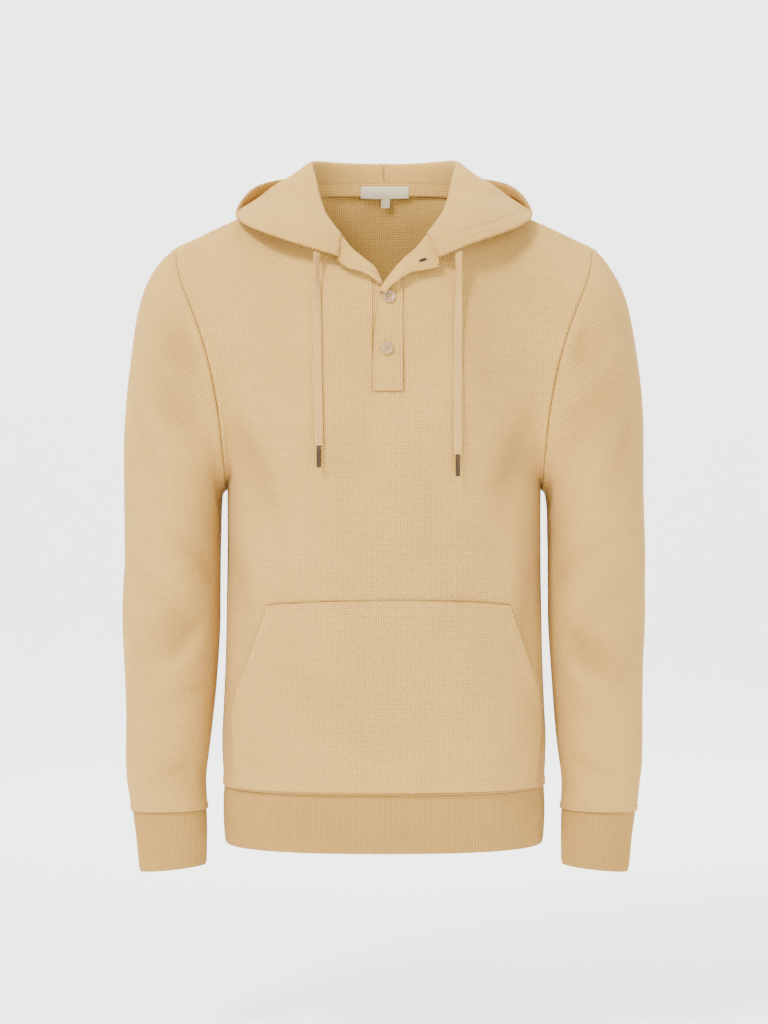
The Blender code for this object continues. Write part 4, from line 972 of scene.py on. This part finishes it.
def ribBand(name, loops, ribs, node):
    # ribs raised in the outer points over a plain inside; the cloth is double and turned at the foot
    count, rows, swell = ribs * bandPlan["each"], bandPlan["rows"], bandPlan["swell"]
    rings = np.array([resample(joined([loop, loop[:1]]), count) for loop in loops])
    rings[:, -1] = rings[:, 0]
    down = np.linspace(0, 1, rows)
    rings = through(np.linspace(0, 1, len(rings)), rings.reshape(len(rings), -1), down)
    rings = rings.reshape(rows, count + 1, 3)
    along = np.roll(rings[:, :-1], -1, axis=1) - np.roll(rings[:, :-1], 1, axis=1)
    outward = np.cross(along, np.array([0.0, 0.0, 1.0]))
    outward /= np.linalg.norm(outward, axis=2)[..., None]
    outward = np.concatenate([outward, outward[:, :1]], axis=1)
    share = (np.arange(count + 1) % bandPlan["each"]) / bandPlan["each"]
    groove = bandPlan["relief"] * (1 - np.abs(np.cos(math.pi * share)) ** 0.8)
    full = swell * np.sin(math.pi * down) - 0.5 * (down < 0.02) - swell * smoothStep((down - 0.95) / 0.05)
    flute = np.clip(np.minimum(down / 0.05, (1 - down) / 0.04), 0.25, 1)
    outer = rings + outward * (full[:, None] - groove[None] * flute[:, None])[..., None]
    wall = bandPlan["thickness"] - swell * smoothStep((down - 0.93) / 0.07)
    inner = rings - outward * wall[:, None, None]
    height = rings[..., 2].mean(axis=1)
    across = np.arange(count + 1) / bandPlan["each"] * bandPlan["pitch"]
    flat = np.stack(np.broadcast_arrays(across[None], height[:, None]), axis=2)
    piece = shell(name, outer[::-1], inner[::-1], flat[::-1], rib, closed=True)
    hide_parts(node)


quarters = {face: torsoQuarter(body["hemSeam"], 0.01, face) for face in (-1, 1)}
hemRing = joined([flip(quarters[-1], -1)[::-1], quarters[-1][1:], quarters[1][::-1][1:],
                  flip(quarters[1], -1)[1:-1]])
hemRings = [hemRing * (size, size, 0.0) + (0, 0, height) for size, height in bandPlan["hem"]]
ribBand("hemBand", hemRings, bandPlan["hemRibs"], "hem_band")
for word, side in (("Left", -1), ("Right", 1)):
    rings = [flip(ringPoints(row, np.arange(0, 360, 2)), side) for row in sleeve["cuff"]]
    rings = [(ring[::-1] if side < 0 else ring)[::-1] for ring in rings]
    rings[0] = rings[0] - (0, 0, bandPlan["gap"])
    ribBand("cuff" + word, rings, bandPlan["cuffRibs"], "cuff_" + word.lower())
say("rib bands")

pocketPlan = {
    # height, left and right edge
    "sides": [(-626.0, -152.0, 156.0), (-600.0, -155.0, 159.0), (-572.0, -157.0, 162.0),
              (-545.0, -157.5, 163.0), (-516.0, -148.0, 156.0), (-488.0, -137.5, 147.0),
              (-460.0, -128.0, 137.5), (-433.5, -120.0, 129.5)],
    "columns": 20, "topRise": 5.5, "fullness": 2.0, "gape": 1.6, "lift": 2.7, "corner": -545.0,
    "folds": [((-112, 0, -446), (-70, 0, -560), 22, 1.5), ((118, 0, -448), (84, 0, -552), 20, 1.3),
              ((-8, 0, -468), (-18, 0, -600), 26, 0.9), ((-146, 0, -556), (-118, 0, -616), 10, 1.3),
              ((150, 0, -552), (126, 0, -616), 11, 1.5), ((-60, 0, -590), (70, 0, -596), 12, -1.0)],
}


def frontSkin(across, height):
    halfWidth, front, _, roundness = torsoSize(height)
    share = min(abs(across) / halfWidth, 0.999)
    deep = front * (1 - share ** roundness) ** (1 / roundness)
    slopeX = share ** (roundness - 1) / halfWidth * math.copysign(1.0, across)
    normal = np.array([slopeX, -((deep / front) ** (roundness - 1)) / front, 0.0])
    return np.array([across, -deep, height]), normal / np.linalg.norm(normal)


def pocketGrid():
    sides, columns = pocketPlan["sides"], pocketPlan["columns"]
    lines = []
    for number, (height, left, right) in enumerate(sides):
        halfWidth, _, _, roundness = torsoSize(height)
        ends = [math.copysign(math.asin((abs(x) / halfWidth) ** (roundness / 2)), x) for x in (left, right)]
        up = (height - sides[0][0]) / (sides[-1][0] - sides[0][0])
        line = []
        for share in np.linspace(0.0, 1.0, columns + 1):
            turn = ends[0] + (ends[1] - ends[0]) * share
            across = math.copysign(halfWidth * abs(math.sin(turn)) ** (2 / roundness), turn)
            rise = pocketPlan["topRise"] * math.sin(math.pi * share) * (number / (len(sides) - 1)) ** 3
            point, normal = frontSkin(across, height + rise)
            full = pocketPlan["fullness"] * math.sin(math.pi * share) * math.sin(math.pi * up)
            line.append(point + normal * (pocketPlan["lift"] + full))
        lines.append(line)
    return np.array(lines)


def pocketShape(grid, runs):
    # sewn down along the top and lower sides, hemmed and free at the hand openings
    side = nearest(runs, "left", "right")
    sewnDown = smoothStep((pocketPlan["corner"] - grid[..., 2]) / 8)
    lift = -hump(side, 0.0, 1.5, 1.5) * sewnDown + 0.55 * smoothStep((7 - side) / 2) * sewnDown
    lift += (0.8 * smoothStep((13.5 - side) / 2) - hump(side, 0.0, 0.9, 0.7)) * (1 - sewnDown)
    gape = smoothStep((grid[..., 2] - pocketPlan["corner"]) / 30) * smoothStep((runs["top"] - 6) / 25)
    lift += pocketPlan["gape"] * gape * smoothStep((22 - side) / 20)
    lift += 0.6 * smoothStep((8.5 - runs["top"]) / 2) - hump(runs["top"], 0.0, 1.4, 1.5)
    lift += hemRidge(runs["bottom"] + 1.0)
    return lift + waves(grid, 0.7) * smoothStep((nearest(runs, "left", "right", "top", "bottom") - 12) / 25)


hemLines = (0.5, 1.0, 1.6, 2.4, 3.4, 5.0, 6.6, 8.2, 10.0, 11.4, 12.4, 13.4, 14.6, 16.5)
pocket = clothPiece("pocketCloth", pocketGrid(), (9, 4), knit, "pocket", folds=pocketPlan["folds"],
                    lines=[(edge, hemLines) for edge in ("bottom", "top", "left", "right")],
                    shape=pocketShape, seams=0.8)
say("pocket")

placketPlan = {
    # left edge and its height, right edge and its height, sag between them
    "over": [(-12.0, -214.5, 20.0, -214.5, 0), (-12.0, -198, 20.0, -198, 0), (-11.6, -180, 20.0, -180, 0),
             (-10.8, -162, 20.0, -160, 0), (-9.4, -144, 20.0, -138, 0), (-7.2, -127, 20.0, -116, 0),
             (-3.6, -114, 20.0, -100, 0), (-2.6, -112.3, 20.0, -86.5, 0)],
    "under": [(-11.6, -205.6, 19.6, -205.6, 0), (-11.6, -180, 19.6, -180, 0), (-11.6, -155, 19.6, -158, 0),
              (-11.6, -130, 19.6, -140, 1.0), (-11.6, -106, 19.6, -126, 3.5), (-11.6, -90.2, 19.6, -116, 7.0)],
    "lift": {"over": 2.25, "under": 0.0},
}
facingPlan = {
    "roll": 2.9, "bulge": 2.0, "wall": 1.7, "endWall": 0.9,
    "left": [((-3.0, -101.4, -101.5), (-2.0, -106.5, -104.5)), ((-12.0, -99.0, -88.6), (-15.0, -107.0, -95.5)),
             ((-22.0, -95.5, -81.0), (-25.0, -106.0, -91.0)), ((-33.5, -89.5, -70.5), (-36.0, -103.0, -88.0)),
             ((-44.4, -80.6, -56.8), (-46.5, -100.0, -81.5))],
    "right": [((-2.5, -108.2, -111.5), (0.5, -112.4, -113.5)), ((3.5, -105.6, -103.0), (8.0, -112.0, -106.0)),
              ((12.0, -102.2, -92.5), (17.0, -110.0, -99.0)), ((22.0, -96.5, -81.5), (28.0, -107.0, -92.5)),
              ((33.5, -89.8, -70.8), (42.0, -104.0, -90.0)), ((44.4, -80.6, -56.8), (56.5, -101.0, -86.5))],
}


def stripGrid(word, columns=4):
    left, right = frontCoarse[:, half - 1], frontCoarse[:, half + 1]
    start, end = body["slot"]
    share = np.linspace(0.0, 1.0, columns + 1)
    lines = []
    for leftX, leftZ, rightX, rightZ, sag in placketPlan[word]:
        across = leftX + (rightX - leftX) * share
        height = leftZ + (rightZ - leftZ) * share - sag * np.sin(math.pi * share)
        part = (across - start) / (end - start)
        deep = ((1 - part) * np.interp(height, left[:, 2], left[:, 1])
                + part * np.interp(height, right[:, 2], right[:, 1]))
        lines.append(np.stack([across, deep - placketPlan["lift"][word], height], axis=1))
    return np.array(lines)


def facingGrid(side):
    lines = []
    toward = np.array([0.0, -1.0, 0.0])
    for fold, edge in facingPlan[side]:
        fold, edge = np.array(fold), np.array(edge)
        way = (edge - fold) * (1, 0, 1)
        reach = np.linalg.norm(way)
        out = way / reach
        radius = min(facingPlan["roll"], reach * 0.3)
        roll = [fold - out * (0.2 + radius * math.sin(turn)) + toward * radius * (1 - math.cos(turn))
                for turn in np.radians([0, 45, 90, 135, 180])]
        bulge = toward * facingPlan["bulge"]
        rest = [roll[-1] + (edge - roll[-1]) * share + bulge * math.sin(math.pi * share)
                for share in (0.33, 0.67, 1.0)]
        lines.append(roll + rest)
    # the last sections lie along the hood's finished front end, so that the seam between them is closed
    sign = -1 if side == "left" else 1
    hoodEnd = hoods[sign]["outer"][:, -1 if sign < 0 else 0]
    corner = np.array(facingPlan[side][-1][1])
    end = resample(joined([hoodEnd, [corner]]), 7) + np.array([sign * 0.3, -0.25, 0.0])
    lines[-1] = np.array(lines[-1]) * 0.35 + (end - (sign * 1.5, 0, 0)) * 0.65
    lines.append(end)
    grid = np.array(lines).transpose(1, 0, 2)
    # the solid's wall lies in front of these points, so the skin that shows is one wall further out
    wall = np.array([facingPlan["wall"]] * (len(lines) - 2) + [facingPlan["endWall"], 0.0])[None, :, None]
    grid = grid + gridNormals(grid) * wall * -sign
    return grid[:, ::-1] if sign > 0 else grid


def stripShape(grid, runs):
    # edge-stitched strip of double cloth
    side = nearest(runs, "left", "right", "bottom")
    return -hump(side, 0.0, 0.9, 0.5) + hump(side, 1.4, 0.8, 0.15) - hump(side, 2.7, 0.6, 0.35)


def facingShape(grid, runs):
    return -hump(runs["top"], 0.0, 0.9, 0.4) - hump(runs["top"], 2.8, 0.7, 0.3)


stripLines = (0.5, 1.0, 1.5, 2.0, 2.4, 2.8, 3.2, 3.8, 4.6)
over = clothPiece("placketOver", stripGrid("over"), (6, 4), knit, "placket_over", shape=stripShape,
                  lines=[(edge, stripLines) for edge in ("bottom", "left", "right")])
clothPiece("placketUnder", stripGrid("under"), (6, 4), knit, "placket_under", shape=stripShape,
           lines=[(edge, stripLines[:5]) for edge in ("left", "right")])
facings = {side: clothPiece("facing" + side.title(), facingGrid(side), (5, 6), knit, "facing_" + side,
                            shape=facingShape, lines=[("top", stripLines[:7])])
           for side in ("left", "right")}
say("placket and facings")

neckPlan = {"wall": 1.8, "tape": 1.0, "gap": 1.3, "shares": (-0.45, 0.2, 0.85), "labelGap": 0.7,
            "label": (-26.5, 28.5, 6.8, 17.7), "tab": (-3.3, 7.0, -2.8, 6.4)}


def standRows(count):
    stand = hoodGrid(1)[:count, -hood["backCells"] - 1:]
    return np.concatenate([stand, flip(stand, -1)[:, ::-1][:, 1:]], axis=1)


def tapeGrid():
    stand = standRows(2)[:, ::-1]
    inward = np.cross(np.gradient(stand[0], axis=0), stand[1] - stand[0])
    inward /= np.linalg.norm(inward, axis=1)[:, None]
    offset = inward * (neckPlan["wall"] + neckPlan["gap"] + neckPlan["tape"])
    return np.array([stand[0] + (stand[1] - stand[0]) * share + offset for share in neckPlan["shares"]])


def neckSheet(size, columns, rows=3):
    left, right, low, high = size
    middle, cells = backCoarse.shape[1] // 2, hood["backCells"]
    yoke = backCoarse[-4:-1, middle - cells:middle + cells + 1]
    surface = np.concatenate([yoke, standRows(hood["steps"][0] + 1)])
    lift = neckPlan["wall"] + 2 * neckPlan["tape"] + neckPlan["gap"] + neckPlan["labelGap"]
    return np.array([[lyingOn(surface, x, height, lift)[0] for x in np.linspace(left, right, columns + 1)]
                     for height in np.linspace(low, high, rows + 1)])


def tapeShape(grid, runs):
    edge = nearest(runs, "top", "bottom")
    return -hump(edge, 0.0, 0.6, 0.3) - hump(edge, 1.6, 0.5, 0.15)


def labelShape(grid, runs):
    # ends folded under and sewn down
    edge = nearest(runs, "left", "right")
    return -hump(edge, 0.0, 0.7, 0.5) + hump(edge, 1.6, 1.2, 0.15)


tape = clothPiece("neckTape", tapeGrid(), (8, 8), knit, "neck_tape", thickness=0.9, shape=tapeShape)
label = clothPiece("neckLabel", neckSheet(neckPlan["label"], 6), (6, 8), satin, "neck_label", thickness=0.6,
                   shape=labelShape)
clothPiece("sizeTab", neckSheet(neckPlan["tab"], 3), (6, 6), satin, "size_tab", thickness=0.5)
say("tape and labels")

buttonPlan = {
    "diameter": 14.0, "thickness": 2.6, "sides": 48,
    "holePlace": 1.45, "hole": 1.6, "holeSides": 16, "thread": 1.9,
    # from the back over the rim into the dished face: share of the radius, share of the thickness
    "profile": [(0.8, 0.0), (0.9, 0.1), (0.98, 0.4), (1.0, 0.62), (0.97, 0.84), (0.91, 0.97), (0.82, 1.0),
                (0.74, 0.92), (0.66, 0.74), (0.6, 0.7)],
    # across, height, lift off the front
    "places": {"top": (-34.0, -81.5, 0.45), "middle": (5.1, -117.5, 2.7), "low": (2.8, -171.0, 2.7)},
}


def drill(piece, across, up):
    # cuts one thread hole right through
    depth = buttonPlan["thickness"] * 0.003
    bpy.ops.mesh.primitive_cylinder_add(vertices=buttonPlan["holeSides"], radius=buttonPlan["hole"] * 0.0005,
                                        depth=depth, location=(across * 0.001, up * 0.001, 0))
    bit = bpy.context.object
    bpy.context.view_layer.objects.active = piece
    hole = piece.modifiers.new("hole", "BOOLEAN")
    hole.object, hole.operation, hole.solver = bit, "DIFFERENCE", "EXACT"
    bpy.ops.object.modifier_apply(modifier="hole")
    bpy.data.objects.remove(bit)


radius, thick, place = buttonPlan["diameter"] / 2, buttonPlan["thickness"], buttonPlan["holePlace"]
buttonProfile = [(radius * out, thick * up) for out, up in buttonPlan["profile"]]
buttonModel = startRound(buttonProfile[0][0], buttonPlan["sides"])
drawOut(buttonProfile)
closeRound()
for across, up in ((place, place), (-place, place), (-place, -place), (place, -place)):
    drill(buttonModel, across, up)
threadRows = []
for word, (across, height, lift) in buttonPlan["places"].items():
    centre, normal = lyingOn(frontCoarse, across, height, lift)
    turn = Vector(normal).to_track_quat("Z", "Y")
    button = settled(copied(buttonModel), "button" + word.title(), pearl, centre, turn.to_euler())
    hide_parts("button_" + word)
    turn = np.array(turn.to_matrix())
    for up in (-place, place):
        ends = [(side, up, thick * 0.72) for side in (-buttonPlan["thread"], buttonPlan["thread"])]
        line = np.array([turn @ np.array(end) + centre for end in ends])
        threadRows.append((line, np.array([normal, normal])))
bpy.data.objects.remove(buttonModel)
stitches("buttonThread", threadRows, thread, pitch=3.8, size=(3.9, 0.8, 0.7))
say("buttons")

sewing = {
    # distance of each row from its edge
    "hem": (2.2, 6.6), "hoodSeam": 4.6, "pocketTop": (3.0, 7.4), "pocketSide": 3.0, "handOpening": 12.0,
    "placketSide": 2.7, "placketFoot": (2.4, 9.6), "facing": 2.8, "tape": 1.4, "label": 1.2,
    "openingFrom": 0.46,                   # share of the pocket's side below the hand opening
}
hemRows = [lineAt(cloth, "bottom", distance)
           for cloth in (front, back, *sleeves.values()) for distance in sewing["hem"]]
stitches("coverStitch", hemRows, thread, pitch=3.4, size=(2.6, 0.8, 0.5))
hoodRows = []
for cloth, edge in ((hoods[1], "right"), (hoods[-1], "left")):
    for inside in (False, True):
        hoodRows += [lineAt(cloth, "top", hood["casing"], inside=inside),
                     lineAt(cloth, edge, sewing["hoodSeam"], inside=inside)]
stitches("hoodStitch", hoodRows, thread, pitch=3.4)
pocketRows = [lineAt(pocket, "top", distance) for distance in sewing["pocketTop"]]
for edge in ("left", "right"):
    pocketRows += [lineAt(pocket, edge, sewing["handOpening"], sewing["openingFrom"], 1.0),
                   lineAt(pocket, edge, sewing["pocketSide"], 0.03, sewing["openingFrom"])]
stitches("pocketStitch", pocketRows, thread, pitch=3.2)
placketRows = [lineAt(over, edge, sewing["placketSide"]) for edge in ("left", "right")]
placketRows += [lineAt(over, "bottom", distance, 0.08, 0.92) for distance in sewing["placketFoot"]]
placketRows += [lineAt(cloth, "top", sewing["facing"]) for cloth in facings.values()]
stitches("placketStitch", placketRows, thread, pitch=2.8, size=(2.0, 0.6, 0.4))
neckRows = [lineAt(tape, edge, sewing["tape"]) for edge in ("top", "bottom")]
neckRows += [lineAt(label, edge, sewing["label"]) for edge in ("left", "right")]
stitches("neckStitch", neckRows, thread, pitch=2.8, size=(2.0, 0.55, 0.4))

# the buttonhole in the folded-out facing: stitches all round a slit of painted shade
holePlan = {"across": 40.0, "height": -79.1, "length": 10.5, "width": 3.6, "slant": 25.0, "sides": 32}
centre, normal = lyingOn(facings["right"]["outer"], holePlan["across"], holePlan["height"], 0.15, 1.5)
slant = math.radians(holePlan["slant"])
along = np.array([math.cos(slant), 0.0, math.sin(slant)])
along -= normal * (along @ normal)
along /= np.linalg.norm(along)
aside = np.cross(normal, along)
turns = np.linspace(0, 2 * math.pi, holePlan["sides"] + 1)[:, None]
long, wide = holePlan["length"] / 2, holePlan["width"] / 2
rim = centre + along * np.cos(turns) * long + aside * np.sin(turns) * (wide + 0.5)
stitches("buttonholeStitch", [(rim, np.tile(normal, (len(rim), 1)))], thread, pitch=0.75,
         size=(0.7, 1.6, 0.55))
# painted shade: a dark sheet in the cut through the cloth, with no gloss
shade, _, _ = newMaterial("slitShade", "waffle_knit", {"Base Color": colour("2a1c10"), "Roughness": 1.0})
slit = startRound(1.0, holePlan["sides"])
bpy.ops.transform.resize(value=(long * 0.92, wide, 1), center_override=(0, 0, 0))
drawOut([(1.0, 0.0), (1.0, -0.6)])
closeRound()
settled(slit, "buttonholeSlit", shade, centre + normal * 0.25,
        Matrix((along, aside, normal)).transposed().to_euler())
say("sewing")

# floor and backdrop in one piece, with a wide curve between them
stagePlan = {"floor": -900.0, "flat": 3600.0, "radius": 2200.0, "top": 4500.0, "sides": 96, "steps": 20}
floorProfile = [(stagePlan["flat"], stagePlan["floor"])]
floorProfile += [(stagePlan["flat"] + stagePlan["radius"] * math.sin(t),
                  stagePlan["floor"] + stagePlan["radius"] * (1 - math.cos(t)))
                 for t in np.linspace(0.06, math.pi / 2, stagePlan["steps"])]
floorProfile.append((floorProfile[-1][0], stagePlan["top"]))
backdrop = startRound(stagePlan["flat"], stagePlan["sides"], "TRIFAN")
bpy.ops.mesh.select_mode(type="EDGE")
bpy.ops.mesh.select_all(action="DESELECT")
bpy.ops.mesh.select_non_manifold()
drawOut(floorProfile)
bpy.ops.mesh.select_mode(type="VERT")
bpy.ops.object.mode_set(mode="OBJECT")
bpy.ops.object.shade_smooth()
backdrop.name = "backdrop"
backdrop.location = (0, 0, stagePlan["floor"] * 0.001)
bpy.ops.object.transform_apply(location=True, rotation=True, scale=True)
# matt painted board, faintly lit from within so that it stays pale behind the cloth
paper, _, _ = newMaterial("mattBackdrop", "", {"Base Color": colour("fbfaf8"), "Roughness": 0.9,
                                               "Emission Color": colour("ffffff"), "Emission Strength": 0.38})
backdrop.data.materials.append(paper)

lightPlan = {
    "keyLight": {"place": (-1.35, -2.1, 2.0), "size": 0.7, "power": 165, "tint": (1.0, 0.985, 0.96)},
    "fillLight": {"place": (1.4, -2.8, 0.2), "size": 1.5, "power": 20},
    "backLight": {"place": (0.6, 2.6, 1.6), "size": 1.8, "power": 60},
    "boardLight": {"place": (0.0, 1.4, 3.4), "size": 2.5, "power": 420, "aim": (0.0, 5.0, -0.6)},
}
for name, plan in lightPlan.items():
    lamp = linked(name, bpy.data.lights.new(name, "AREA"))
    lamp.data.size = plan["size"]
    lamp.data.energy = plan["power"]
    lamp.data.color = plan.get("tint", (1.0, 1.0, 1.0))
    lamp.location = plan["place"]
    aim = Vector(plan.get("aim", (0.0, 0.0, -0.35))) - Vector(plan["place"])
    lamp.rotation_euler = aim.to_track_quat("-Z", "Y").to_euler()
world = bpy.data.worlds.new("studio")
bpy.context.scene.world = world
world.use_nodes = True
world.node_tree.nodes["Background"].inputs[0].default_value = (1.0, 1.0, 1.0, 1.0)
world.node_tree.nodes["Background"].inputs[1].default_value = 0.3
say("studio")

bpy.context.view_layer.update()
say("done")
